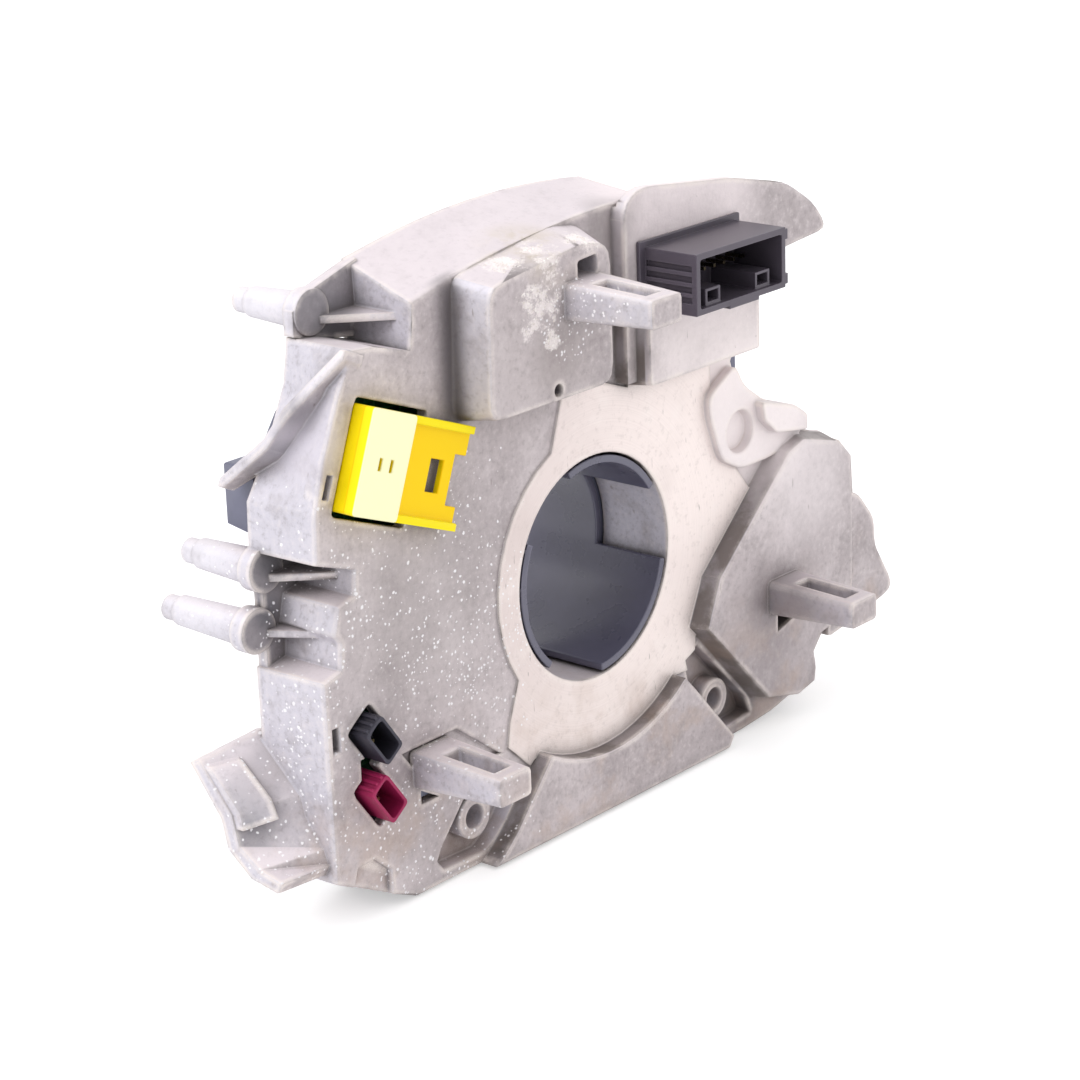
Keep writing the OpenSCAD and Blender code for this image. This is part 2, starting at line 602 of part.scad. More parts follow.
module small_socket(i) {
  difference() {
    union() {
      slab(-small_out, board_y) small_outline(i, 0);
      slab(0.5 - small_out, wall) translate(small_centre(i)) rotate(-small_turn) for (k = [-1:1])
        translate([-small_l / 2, k * 1.8]) square([1, 0.8], center = true);
    }
    slab(-small_out - 1, small_floor) small_outline(i, -small_wall);
    for (p = small_terminals) blade(p, 0.9, 0.9, small_floor - 1, board_y + 1);
  }
}

module black_socket() color([0.17, 0.17, 0.2]) small_socket(0);

module maroon_socket() color([0.62, 0.13, 0.28]) small_socket(1);

module small_socket_pins() {
  color([0.78, 0.72, 0.5]) for (p = small_terminals) blade(p, 0.8, 0.8, small_floor - 3, board_front + 1.4);
}

board_pts = concat([[40, -37.4], [49.4, -22], [49.4, 43], [53, 47], [52, plug_z + 5.4], [14, plug_z + 7],
  [-42, 71.4], [-44, 61], [-58, 59]],
  [for (p = [[17, 54.5], [7.5, 36], [18.9, 28], [18.9, -6], [7.5, -8.4], [7.5, -37.4]])
    p - [left_reach, 0]]);

module circuit_board() {
  color([0.1, 0.36, 0.2]) difference() {
    slab(board_y, board_front) polygon(board_pts);
    bar([0, 0], collar_r + 0.8, collar_r + 0.8, board_y - 1, board_front + 1);
    for (p = board_posts) bar(p, 1.3, 1.3, board_y - 1, board_front + 1);
    for (p = carrier_bosses) bar(p, 4.8, 4.8, board_y - 1, board_front + 1);
    for (p = concat(main_terminals, yellow_terminals, small_terminals))
      blade(p, 0.9, 0.9, board_y - 1, board_front + 1);
  }
}

module board_chips() {
  color([0.12, 0.12, 0.13]) {
    slab(board_front, board_front + 1.8) {
      translate([38, 10]) square([14, 14], center = true);
      translate([-56, 14]) square([10, 8], center = true);
      translate([-20, 58]) square([12, 7], center = true);
    }
    slab(board_front, board_front + 3) translate([4, 54]) square([8, 6], center = true);
  }
}

// Pan-head screw along Y: the head's underside lies at depth y and the shank runs rearwards
module screw(at, y, head_r, head_h, shank_r, shank_l) {
  bar(at, head_r, head_r * 0.8, y, y + head_h);
  bar(at, shank_r, shank_r, y - shank_l, y + eps);
}

module board_screws() {
  color([0.7, 0.7, 0.72]) for (p = board_posts) screw(p, board_front, 2.4, 1.5, 1.1, 7);
}

fork_w = 12;
module sensor_fork() {
  inner = code_r - 0.5 - code_gap;
  outer = code_r + 0.5 + code_gap;
  color([0.13, 0.13, 0.15]) difference() {
    translate([-fork_w / 2, board_front, -outer - 3]) cube([fork_w, rim_depth - board_front, outer - inner + 6]);
    translate([-fork_w, board_front + 2, -outer]) cube([2 * fork_w, rim_depth, outer - inner]);
    bar([0, 0], collar_r + 0.6, collar_r + 0.6, board_front - 1, rim_depth + 1);
  }
}

module code_ring() {
  hub = sleeve_r + 2.4;
  top = carrier_front - case_gap;
  skirt = board_front + 2.6;
  color([0.2, 0.2, 0.22]) difference() {
    union() {
      bar([0, 0], code_r + 0.5, code_r + 0.5, top - 1, top);
      bar([0, 0], hub, hub, rim_depth + 0.4, top);
      difference() {
        bar([0, 0], code_r + 0.5, code_r + 0.5, skirt, top);
        bar([0, 0], code_r - 0.5, code_r - 0.5, skirt - 1, top - 1);
      }
    }
    bar([0, 0], sleeve_r + 0.03, sleeve_r + 0.03, skirt - 1, top + 1);
    for (i = [0:code_windows - 1]) rotate([0, i * 360 / code_windows, 0])
      translate([code_r - 1.5, skirt + 0.7, -code_r * 1.5 / code_windows])
        cube([3, 2.2, code_r * 3 / code_windows]);
  }
}

module sleeve() {
  back = -0.4;
  front = disc_y + disc_t;
  color([0.17, 0.17, 0.2]) difference() {
    bar([0, 0], sleeve_r, sleeve_r, back, front);
    bar([0, 0], shaft_r, shaft_r, back - 1, front + 1);
    for (a = [-11, 109, 229]) rotate([0, a, 0]) intersection() {
      translate([0, back - 1, -sleeve_r]) cube([2 * sleeve_r, finger_l + 1 - back, 2 * sleeve_r]);
      slab(back - 1, finger_l) polygon([[0, 0],
        2 * sleeve_r * [cos(finger_gap / 2), -sin(finger_gap / 2)],
        2 * sleeve_r * [cos(finger_gap / 2), sin(finger_gap / 2)]]);
    }
  }
}

// Outline of the carrier plate
carrier_pts = concat(
  [[80, -57], [86, -48], [102.6, -36], [103, -4], [96, 2.4], [83, 9], [82.6, 44], [55, 52], [54, 73],
   [20, arch_height - 4.5], [-20, arch_height - 0.5], [-55, arch_height - 6.5], [-56, 64]],
  [for (p = [[21.5, 62], [12.5, 54], [7.5, 47], [7, 40], [2.5, 34], [2.5, 27], [14.5, 24], [14.5, -3],
     [2.9, -6], [4.5, -45], [20.5, -56], [28.5, -58.4]]) p - [left_reach, 0]]);
bay_places = [[18.5 - left_reach, 35], [68, 31]];
carrier_hole_r = code_r + 5;

module carrier() {
  color([0.15, 0.15, 0.16]) difference() {
    union() {
      slab(carrier_y, carrier_front) polygon(carrier_pts);
      for (p = bay_places)
        loft(box_pts(p, bay_l, bay_w), box_pts(p, bay_l - 2, bay_w - 2), carrier_front - eps, carrier_front + bay_h);
      for (a = case_ears) bar((case_r + 4.4) * [cos(a), sin(a)], 4, 4, carrier_y, carrier_front);
    }
    for (p = bay_places) slab(carrier_front, carrier_front + bay_h + 1)
      polygon(box_pts(p, bay_l - 2 * bay_wall - 2, bay_w - 2 * bay_wall - 2));
    bar([0, 0], carrier_hole_r, carrier_hole_r, carrier_y - 1, carrier_front + 1);
    for (p = carrier_bosses) bar(p, 1.9, 1.9, carrier_y - 1, carrier_front + 1);
    for (a = case_ears) bar((case_r + 4.4) * [cos(a), sin(a)], 1.3, 1.3, carrier_y - 1, carrier_front + 1);
    for (x = [-post_x, post_x]) bar([x, -boss_drop], 6, 6, carrier_y - 1, carrier_front + 1);
  }
}

module carrier_screws() {
  color([0.7, 0.7, 0.72]) for (p = carrier_bosses) screw(p, carrier_front, 3.2, 2.2, 1.5, 12);
}

module stalk_contacts() {
  color([0.22, 0.22, 0.24]) for (p = bay_places) {
    slab(carrier_front, carrier_front + 2) polygon(box_pts(p, bay_l - 10, bay_w - 8));
    for (k = [-2:2]) blade(p + [k * 3.2, 0], 0.8, 5, carrier_front + 2 - eps, carrier_front + 4.4);
  }
}

module slip_ring_case() {
  color([0.14, 0.14, 0.15]) difference() {
    union() {
      bar([0, 0], case_r, case_r, case_y, case_front);
      for (a = case_ears) slab(case_y, case_y + 3) hull() {
        translate((case_r + 4.4) * [cos(a), sin(a)]) circle(4);
        translate((case_r - 2) * [cos(a), sin(a)]) circle(5);
      }
    }
    bar([0, 0], case_r - case_wall, case_r - case_wall, case_y + case_wall, case_front + 1);
    bar([0, 0], sleeve_r + case_gap, sleeve_r + case_gap, case_y - 1, case_front);
    for (a = case_ears) bar((case_r + 4.4) * [cos(a), sin(a)], 1.7, 1.7, case_y - 1, case_front);
  }
}

module case_screws() {
  color([0.7, 0.7, 0.72]) for (a = case_ears)
    screw((case_r + 4.4) * [cos(a), sin(a)], case_y + 3, 3, 1.8, 1.2, 5.4);
}

module case_cover() {
  color([0.16, 0.16, 0.17]) difference() {
    union() {
      bar([0, 0], case_r, case_r, case_front, case_front + cover_t);
      bar([0, 0], case_r - case_wall - 0.1, case_r - case_wall - 0.1, case_front - 1.6, case_front + eps);
    }
    bar([0, 0], case_r - case_wall - 1.5, case_r - case_wall - 1.5, case_front - 2, case_front - eps);
    bar([0, 0], cover_hole_r, cover_hole_r, case_front - 2, case_front + cover_t + 1);
  }
}

// Flat cable wound in a spiral between the case wall and the rotor's hub
module flat_cable() {
  r0 = hub_r + 1.6;
  r1 = case_r - case_wall - 2.4;
  t = 0.6;
  n = 24 * cable_turns;
  function ring_point(i, d) = let (r = r0 + (r1 - r0) * i / n + d) [r * cos(i * 15), r * sin(i * 15)];
  color([0.72, 0.5, 0.24]) slab(case_y + case_wall + 0.3, case_front - 2)
    polygon(concat([for (i = [0:n]) ring_point(i, t)], [for (i = [n:-1:0]) ring_point(i, 0)]));
}

module rotor_hub() {
  back = case_y + case_wall + 0.3;
  color([0.15, 0.15, 0.16]) difference() {
    union() {
      bar([0, 0], hub_r, hub_r, back, disc_y + eps);
      bar([0, 0], disc_r, disc_r, disc_y, disc_y + disc_t);
      bar([0, 0], sleeve_r + 4, sleeve_r + 4, disc_y, disc_y + disc_t + 3);
      for (a = [0, 180]) bar(39 * [cos(a), sin(a)], 3, 2.6, disc_y + disc_t - eps, disc_y + disc_t + 9);
    }
    bar([0, 0], sleeve_r + 0.03, sleeve_r + 0.03, back - 1, disc_y + disc_t + 4);
    difference() {
      bar([0, 0], hub_r - 2, hub_r - 2, back - 1, disc_y - 2);
      bar([0, 0], sleeve_r + 2, sleeve_r + 2, back - 2, disc_y);
    }
  }
}

front_y = disc_y + disc_t;
front_plug_w = 15;
front_plug_d = 8.6;
front_plug_r = (sleeve_r + 4 + disc_r) / 2;

// Plug on the rotor's front at angle a, open towards the steering wheel
module front_plug(a) {
  rotate([0, a, 0]) translate([0, 0, front_plug_r]) difference() {
    translate([-front_plug_w / 2, front_y, -front_plug_d / 2]) cube([front_plug_w, front_plug_h, front_plug_d]);
    translate([-front_plug_w / 2 + 1.2, front_y + 2.5, -front_plug_d / 2 + 1.2])
      cube([front_plug_w - 2.4, front_plug_h, front_plug_d - 2.4]);
    for (k = [-1.5:1:1.5]) blade([k * 2.6, 0], 0.9, 0.9, front_y - 1, front_y + 3);
  }
}

module front_yellow_plug() color([0.96, 0.8, 0.1]) front_plug(-35);

module front_black_plug() color([0.16, 0.16, 0.17]) front_plug(35);

module front_plug_pins() {
  color([0.78, 0.72, 0.5]) for (a = [-35, 35]) rotate([0, a, 0]) translate([0, 0, front_plug_r])
    for (k = [-1.5:1:1.5]) blade([k * 2.6, 0], 0.8, 0.8, front_y + 0.02, front_y + front_plug_h / 2);
}

housing();
main_plug();
main_plug_pins();
yellow_socket();
yellow_socket_pins();
black_socket();
maroon_socket();
small_socket_pins();
circuit_board();
board_chips();
board_screws();
sensor_fork();
carrier();
carrier_screws();
stalk_contacts();
slip_ring_case();
flat_cable();
case_cover();
case_screws();
sleeve();
rotor_hub();
code_ring();
front_yellow_plug();
front_black_plug();
front_plug_pins();
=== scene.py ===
# %% [markdown]
# # The centre of a steering column switch
# A cast light-alloy module sits round the steering column and holds plugs, a board and a rotor.
# The CAD model already gives every piece its place and size. This lesson only dresses it:
# soft edges, corroded metal, moulded plastic, screws, a floor and light.
# Everything is in metres, and the origin is the centre of the bore on the rear face.

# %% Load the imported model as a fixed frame
from math import cos, pi, radians, sin

import bmesh
import bpy
from mathutils import Matrix, Vector
from mathutils.geometry import intersect_line_line_2d
from mathutils.kdtree import KDTree


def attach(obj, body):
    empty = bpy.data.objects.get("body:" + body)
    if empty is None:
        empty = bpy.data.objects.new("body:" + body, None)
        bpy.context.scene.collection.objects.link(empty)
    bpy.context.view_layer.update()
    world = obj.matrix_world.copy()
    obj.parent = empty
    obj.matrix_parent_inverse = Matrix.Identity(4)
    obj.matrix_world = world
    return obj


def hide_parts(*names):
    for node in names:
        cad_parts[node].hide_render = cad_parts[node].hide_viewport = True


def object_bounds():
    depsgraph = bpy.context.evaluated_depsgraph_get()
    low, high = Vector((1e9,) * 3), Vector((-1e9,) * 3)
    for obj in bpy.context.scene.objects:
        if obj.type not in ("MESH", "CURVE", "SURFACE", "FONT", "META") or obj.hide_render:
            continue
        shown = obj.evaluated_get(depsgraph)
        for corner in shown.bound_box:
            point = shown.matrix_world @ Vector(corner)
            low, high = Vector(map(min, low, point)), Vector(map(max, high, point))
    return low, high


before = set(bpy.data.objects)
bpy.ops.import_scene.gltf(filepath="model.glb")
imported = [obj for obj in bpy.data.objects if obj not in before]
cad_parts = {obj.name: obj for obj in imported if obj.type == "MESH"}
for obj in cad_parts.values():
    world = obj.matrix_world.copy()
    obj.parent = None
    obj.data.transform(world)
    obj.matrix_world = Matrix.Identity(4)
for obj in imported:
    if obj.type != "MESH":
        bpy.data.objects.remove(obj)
cad_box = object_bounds()
scene = bpy.context.scene
MM = 0.001

# %% [markdown]
# ## The camera
# The picture was taken from the left and a little above, with a long lens and a slight tilt.
# A camera could be aimed with a Track To constraint, but a matrix built from three angles
# gives the tilt as well and leaves nothing live in the file.

# %% Camera at the picture's angle
AZIMUTH, ELEVATION, ROLL = radians(-48.885), radians(18.458), radians(-2)
CAMERA_PLACE = (-0.513781, -0.431673, 0.231031)
camera_data = bpy.data.cameras.new("camera")
camera_data.lens = 100
camera_data.sensor_width = 36
camera = bpy.data.objects.new("camera", camera_data)
scene.collection.objects.link(camera)
right = Vector((cos(AZIMUTH), sin(AZIMUTH), 0))
forward = Vector((-sin(AZIMUTH) * cos(ELEVATION), cos(AZIMUTH) * cos(ELEVATION), -sin(ELEVATION)))
up = right.cross(forward)
tilted_right = cos(ROLL) * right + sin(ROLL) * up
tilted_up = cos(ROLL) * up - sin(ROLL) * right
turn = Matrix((tilted_right, tilted_up, -forward)).transposed()
camera.matrix_world = Matrix.Translation(CAMERA_PLACE) @ turn.to_4x4()
scene.camera = camera
scene.view_settings.view_transform = "Standard"
print("camera looks along", [round(v, 3) for v in forward])

# %% [markdown]
# ## Node helpers
# A procedural material is a chain of small nodes. A few helpers keep the recipes readable:
# one turns the usual 0 to 255 colour values into the linear light that a shader works in,
# one adds a node and plugs in numbers or other sockets, and the rest are the usual chains.

# %% Helpers for colours and nodes
def paint(red, green, blue):
    """A screen colour of 0 to 255 as linear light."""
    return tuple((c / 255 / 12.92) if c < 10 else ((c / 255 + 0.055) / 1.055) ** 2.4
                 for c in (red, green, blue)) + (1,)


def add(tree, kind, inputs=None, **settings):
    """Adds a node. Inputs are numbers, colours or sockets to plug in."""
    made = tree.nodes.new(kind)
    for key, value in settings.items():
        setattr(made, key, value)
    for key, value in (inputs or {}).items():
        if isinstance(value, bpy.types.NodeSocket):
            tree.links.new(value, made.inputs[key])
        else:
            made.inputs[key].default_value = value
    return made


def maths(tree, operation, a, b=0.0, clamp=False):
    """One Math node's result."""
    made = add(tree, "ShaderNodeMath", {0: a, 1: b}, operation=operation, use_clamp=clamp)
    return made.outputs[0]


def less(tree, value):
    """What is left of 1."""
    return maths(tree, "SUBTRACT", 1.0, value)


def blend(tree, factor, a, b):
    """Mixes two colours by a factor."""
    return add(tree, "ShaderNodeMix", {0: factor, 6: a, 7: b}, data_type="RGBA").outputs[2]


def join(tree, x=0.0, y=0.0, z=0.0):
    """A vector from three numbers or sockets."""
    return add(tree, "ShaderNodeCombineXYZ", {0: x, 1: y, 2: z}).outputs[0]


def split(tree, vector):
    """The three parts of a vector."""
    return add(tree, "ShaderNodeSeparateXYZ", {0: vector}).outputs


def noise(tree, place, scale, detail=3.0, roughness=0.5, shift=0.0):
    """Soft random values from 0 to 1; shift moves the pattern to another part of the noise."""
    if shift:
        place = add(tree, "ShaderNodeVectorMath", {0: place, 1: (shift, shift, shift)}).outputs[0]
    return add(tree, "ShaderNodeTexNoise", {"Vector": place, "Scale": scale, "Detail": detail,
                                            "Roughness": roughness}).outputs[0]


def step(tree, value, low, high):
    """0 below low, 1 above high and smooth between; low above high turns it round."""
    return add(tree, "ShaderNodeMapRange", {0: value, 1: low, 2: high, 3: 0.0, 4: 1.0},
               interpolation_type="SMOOTHSTEP").outputs[0]


def product(tree, first, *others):
    """Several factors multiplied."""
    for other in others:
        first = maths(tree, "MULTIPLY", first, other)
    return first


def near(tree, place, spot, inner, outer):
    """1 within the inner distance of a spot and 0 beyond the outer one, all in millimetres."""
    gap = add(tree, "ShaderNodeVectorMath", {0: place, 1: [value * MM for value in spot]},
              operation="DISTANCE").outputs["Value"]
    return step(tree, gap, outer * MM, inner * MM)


def most(tree, values):
    """The largest of several values."""
    result = values[0]
    for value in values[1:]:
        result = maths(tree, "MAXIMUM", result, value)
    return result


def openness(tree, distance, samples, **settings):
    """1 on open faces and less where others stand within a distance; inside looks for edges."""
    return add(tree, "ShaderNodeAmbientOcclusion", {"Distance": distance}, samples=samples,
               **settings).outputs["AO"]


def new_finish(name, roughness, metallic=0.0, colour=None):
    """A material with its tree, its surface shader and its Object coordinates."""
    material = bpy.data.materials.new(name)
    material.use_nodes = True
    tree = material.node_tree
    skin = tree.nodes["Principled BSDF"]
    skin.inputs["Roughness"].default_value = roughness
    skin.inputs["Metallic"].default_value = metallic
    if colour:
        skin.inputs["Base Color"].default_value = colour
        material.diffuse_color = colour
    place = add(tree, "ShaderNodeTexCoord").outputs["Object"]
    return material, tree, skin, place


def bump(tree, skin, height, depth, strength, soft=0.0):
    """Raises the surface by height, a value from 0 to 1, times depth in metres.
    soft is the radius over which edges are shaded as if they were rounder."""
    made = add(tree, "ShaderNodeBump", {"Height": height, "Strength": strength, "Distance": depth})
    if soft:
        round_edges = add(tree, "ShaderNodeBevel", {"Radius": soft}, samples=3)
        tree.links.new(round_edges.outputs[0], made.inputs["Normal"])
    tree.links.new(made.outputs[0], skin.inputs["Normal"])


# %% [markdown]
# ## The floor, the sky and the lamps
# The floor is plain and pale and keeps the shadow. The sky is white for the camera and for
# reflections, but weaker for lighting, so that forms keep their shade. One large soft lamp
# stands behind at the upper left, as the bright top and left wall suggest, and a smaller one
# at the front right.

# %% Floor
FLOOR_SIZE = 6
FLOOR_GLOW = 0.42


def seen_directly(tree):
    """1 for rays from the camera, a mirror or glass, and 0 for light that falls on things."""
    rays = add(tree, "ShaderNodeLightPath").outputs
    mirrored = maths(tree, "ADD", rays["Is Glossy Ray"], rays["Is Transmission Ray"])
    return maths(tree, "ADD", rays["Is Camera Ray"], mirrored, clamp=True)


floor_z = cad_box[0][2]
half = FLOOR_SIZE / 2
floor_mesh = bpy.data.meshes.new("floor")
floor_mesh.from_pydata([(-half, -half, floor_z), (half, -half, floor_z),
                        (half, half, floor_z), (-half, half, floor_z)], [], [(0, 1, 2, 3)])
floor = bpy.data.objects.new("floor", floor_mesh)
scene.collection.objects.link(floor)
floor_finish, tree, skin, place = new_finish("floor_paint", 0.9, colour=paint(236, 236, 237))
skin.inputs["Specular IOR Level"].default_value = 0
skin.inputs["Emission Color"].default_value = (1, 1, 1, 1)
tree.links.new(product(tree, seen_directly(tree), FLOOR_GLOW), skin.inputs["Emission Strength"])
floor_mesh.materials.append(floor_finish)
print("floor at", round(floor_z, 4))

# %% Sky
SKY_LIGHT = 0.84
world = bpy.data.worlds.new("sky")
scene.world = world
world.use_nodes = True
tree = world.node_tree
shown = tree.nodes["Background"]
shown.inputs["Color"].default_value = (1, 1, 1, 1)
lighting = add(tree, "ShaderNodeBackground", {"Color": (1, 1, 1, 1), "Strength": SKY_LIGHT})
both = add(tree, "ShaderNodeMixShader", {
    0: seen_directly(tree), 1: lighting.outputs[0], 2: shown.outputs[0]})
tree.links.new(both.outputs[0], tree.nodes["World Output"].inputs["Surface"])
print("sky light", SKY_LIGHT)


# %% Lamps
def soft_lamp(name, direction, distance, size, power):
    """A square lamp that looks at the bore from a direction."""
    data = bpy.data.lights.new(name, "AREA")
    data.size = size
    data.energy = power
    lamp = bpy.data.objects.new(name, data)
    scene.collection.objects.link(lamp)
    lamp.location = Vector(direction).normalized() * distance
    lamp.rotation_euler = Vector(direction).to_track_quat("Z", "Y").to_euler()
    print(name, "of", power, "watts")


soft_lamp("key_lamp", (-0.62, 0.22, 0.75), distance=1.2, size=0.9, power=7.0)
soft_lamp("fill_lamp", (0.62, -0.7, 0.35), distance=0.9, size=1.6, power=3.4)

# %% [markdown]
# ## Soft edges
# Nothing cast or moulded has a knife edge. The CAD mesh is loose triangles, so a copy is
# welded, its flat faces are joined, and a Bevel modifier rounds the edges. How far an edge may
# be rounded depends on the room beside it, so each edge carries its own bevel weight.

# %% A copy of a CAD node, and how far its edges can be rounded
WELD = 2e-6
SAME_PLANE = radians(0.4)
SMALLEST_ROUND = 0.02 * MM
ROOM_SHARE = 0.4
ROTOR = ("sleeve", "rotor_hub", "code_ring", "front_yellow_plug", "front_black_plug",
         "front_plug_pins")


def welded(node):
    """A bmesh of a CAD node with shared corners and joined flat faces."""
    form = bmesh.new()
    form.from_mesh(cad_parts[node].data)
    bmesh.ops.remove_doubles(form, verts=form.verts, dist=WELD)
    bmesh.ops.dissolve_limit(form, angle_limit=SAME_PLANE, verts=form.verts, edges=form.edges,
                             use_dissolve_boundaries=False)
    return form


def room_beside(edge):
    """The shortest neighbouring edge, which limits how far this one can be rounded."""
    lengths = [edge.calc_length()]
    for loop in edge.link_loops:
        lengths += [loop.link_loop_next.edge.calc_length(), loop.link_loop_prev.edge.calc_length()]
    return min(lengths)


def set_weights(form, widest, radius_at, sharp):
    """Gives each sharp edge the radius that its place asks for, if it has the room."""
    weight = form.edges.layers.float.new("bevel_weight_edge")
    count = 0
    for edge in form.edges:
        if len(edge.link_faces) == 2 and edge.calc_face_angle(0) > sharp:
            middle = (edge.verts[0].co + edge.verts[1].co) / 2
            radius = min(radius_at(middle), ROOM_SHARE * room_beside(edge))
            if radius > SMALLEST_ROUND:
                edge[weight] = radius / widest
                count += 1
            else:
                edge.smooth = False
    return count


# %% Applying the modifiers, and finding the faces that they spoil
SPECK_AREA = 1e-10


def finished(made):
    """Turns an object and its modifiers into a plain mesh."""
    graph = bpy.context.evaluated_depsgraph_get()
    mesh = bpy.data.meshes.new_from_object(made.evaluated_get(graph))
    made.modifiers.clear()
    made.data = mesh


def folds(mesh):
    """Corners where rounding has folded a flat face over itself."""
    mesh.calc_loop_triangles()
    turned = {}
    for part in mesh.loop_triangles:
        face = mesh.polygons[part.polygon_index]
        if part.area > SPECK_AREA and part.normal.dot(face.normal) < 0.5:
            turned.setdefault(face.index, []).extend(part.vertices)
    found = []
    for index, corners in turned.items():
        face = mesh.polygons[index]
        flat = face.normal.to_track_quat("Z", "Y").inverted()
        ring = [mesh.vertices[index].co for index in face.vertices]
        path = [(flat @ corner).to_2d() for corner in ring]
        count, before = len(path), len(found)
        for i in range(count):
            for j in range(i + 2, count - (i == 0)):
                if intersect_line_line_2d(path[i], path[(i + 1) % count],
                                          path[j], path[(j + 1) % count]):
                    found += [ring[i], ring[(i + 1) % count], ring[j], ring[(j + 1) % count]]
        if len(found) == before:
            found += [mesh.vertices[index].co for index in corners]
    return found


# %% Rounding a piece
def rounded(made, form, widest, segments, sharp, tries=8):
    """Applies the bevel; where it folds a face, the edges there get less, and it runs again."""
    corners = KDTree(len(form.verts))
    for corner in form.verts:
        corners.insert(corner.co, corner.index)
    corners.balance()
    form.verts.ensure_lookup_table()
    weight = form.edges.layers.float["bevel_weight_edge"]
    sharp_form = made.data
    for attempt in range(tries):
        form.to_mesh(sharp_form)
        made.data = sharp_form
        bevel = made.modifiers.new("soft_edges", "BEVEL")
        bevel.limit_method = "WEIGHT"
        bevel.width = widest
        bevel.segments = segments
        bevel.use_clamp_overlap = False
        even = made.modifiers.new("even_normals", "WEIGHTED_NORMAL")
        even.keep_sharp = True
        finished(made)
        bad = folds(made.data)
        if not bad:
            break
        touched = {corners.find(place)[1] for place in bad}
        for index in touched:
            for edge in form.verts[index].link_edges:
                edge[weight] = edge[weight] * 0.5 if attempt < tries / 2 else 0
                if not edge[weight] and edge.calc_face_angle(0) > sharp:
                    edge.smooth = False
    return attempt + 1


def softened(node, piece, material, widest=0.4 * MM, radius_at=None, segments=2, sharp=25):
    """Makes the piece that is shown in place of a CAD node."""
    form = welded(node)
    count = set_weights(form, widest, radius_at or (lambda middle: widest), radians(sharp))
    for face in form.faces:
        face.smooth = True
    made = bpy.data.objects.new(piece, bpy.data.meshes.new(piece))
    scene.collection.objects.link(made)
    passes = rounded(made, form, widest, segments, radians(sharp))
    form.free()
    made.data.materials.clear()
    made.data.materials.append(material)
    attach(made, "rotor" if node in ROTOR else "module")
    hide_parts(node)
    print(piece, "edges rounded:", count, "passes:", passes, "faces:", len(made.data.polygons))
    return made


# %% [markdown]
# ## Cast metal with age
# The housing is a pressure die casting: matt grey with cloudy stains, white corrosion specks
# on the lower left, a bright machined ring round the bore and brown traces low down. Light and
# shade are painted on it as well: lighter tops and left wall, a painted reflection on the ring,
# and darker undersides, side walls, pockets and corners. All of it comes from noise in object
# coordinates, so it stays put on the metal.

# %% Where the casting is stained, speckled and crusted, and where light and shade are painted on it
# The machined ring: its level in millimetres, and its radius
LAND_LEVEL = -0.6
LAND_REACH = 62 * MM
# Local stains and patches of painted light and shade, each with place, full and last distance in
# millimetres, strength, colour
STAINS_LIGHT_AND_SHADE = (
    ((62, -6, -38), 6, 42, 0.4, paint(152, 142, 145)),
    ((-60, 0, 10), 8, 36, 0.35, paint(164, 156, 155)),
    ((8, 0, 80), 3, 11, 0.5, paint(112, 105, 104)),
    ((-23, -10, 59), 2, 12, 0.4, paint(132, 121, 119)),
    # Painted shade at the root of the right prong
    ((61, -12, -25), 3, 15, 0.55, paint(116, 107, 110)),
    # Painted shade in the corner recess by the right screw
    ((59, 4, -56), 2, 9, 0.7, paint(66, 62, 64)),
    ((60, -2.6, 27), 14, 30, 0.8, paint(250, 240, 240)),
    ((34, -6, 50), 10, 32, 0.55, paint(250, 239, 238)),
    ((-30, -10, 55), 10, 30, 0.3, paint(150, 139, 137)),
    ((34, -4, 80), 14, 34, 0.6, paint(250, 238, 240)),
    # Painted highlight on the right part of the right pad
    ((80, -6, 2), 6, 26, 0.5, paint(230, 221, 223)),
    # Painted light on the fin's face, which turns downward
    ((-84, 8, 50), 5, 14, 0.6, paint(222, 216, 226)),
    # Painted shadow under the fin's outer edge
    ((-87, 8, 57), 1, 7, 0.55, paint(106, 102, 108)),
    # Painted shade in the pin pockets behind the webs
    ((-66, 15, 71), 2, 9, 0.6, paint(72, 72, 78)),
    ((-89, 16, 23), 1, 7, 0.7, paint(72, 72, 78)),
    ((-91, 17, 12), 1, 7, 0.7, paint(72, 72, 78)),
    # Painted light on the back of the left wall
    ((-72, 30, 75), 5, 18, 0.6, paint(236, 233, 240)),
    ((-91, 34, 15), 7, 19, 0.5, paint(238, 235, 242)))
# Places where the painted shade of corners and side walls is held back, with full and last distance
UNSHADED_SPOTS = (((60, -3, 27), 16, 28), ((36, -4, 80), 14, 32), ((-84, 8, 50), 5, 14))
# Each crusted place and its reach in millimetres
CRUST_SPOTS = (((-28, -10, 70), 12), ((-25, -10, 79), 9), ((-33, -5, 80), 9),
               ((-23, -5, 81.5), 9), ((-24, -10, 62), 5), ((-11, -8, 82), 8))


def speck_layer(tree, place, scale, biggest, chance):
    """Round specks: one in some of the cells, each with a size of its own."""
    cells = add(tree, "ShaderNodeTexVoronoi", {"Vector": place, "Scale": scale})
    pick = add(tree, "ShaderNodeSeparateColor", {0: cells.outputs["Color"]}).outputs
    size = product(tree, pick[0], pick[0], biggest)
    spot = step(tree, maths(tree, "SUBTRACT", cells.outputs["Distance"], size), 0.06, -0.02)
    return product(tree, spot, maths(tree, "LESS_THAN", pick[1], chance))


def crust_chance(tree, place):
    """How likely white crust is at a place, and the cover that its spots give there."""
    cover = most(tree, [near(tree, place, spot, 1, reach) for spot, reach in CRUST_SPOTS])
    flakes = noise(tree, place, 210, 6, 0.78, 41.0)
    return maths(tree, "ADD", flakes, product(tree, cover, 0.24)), cover


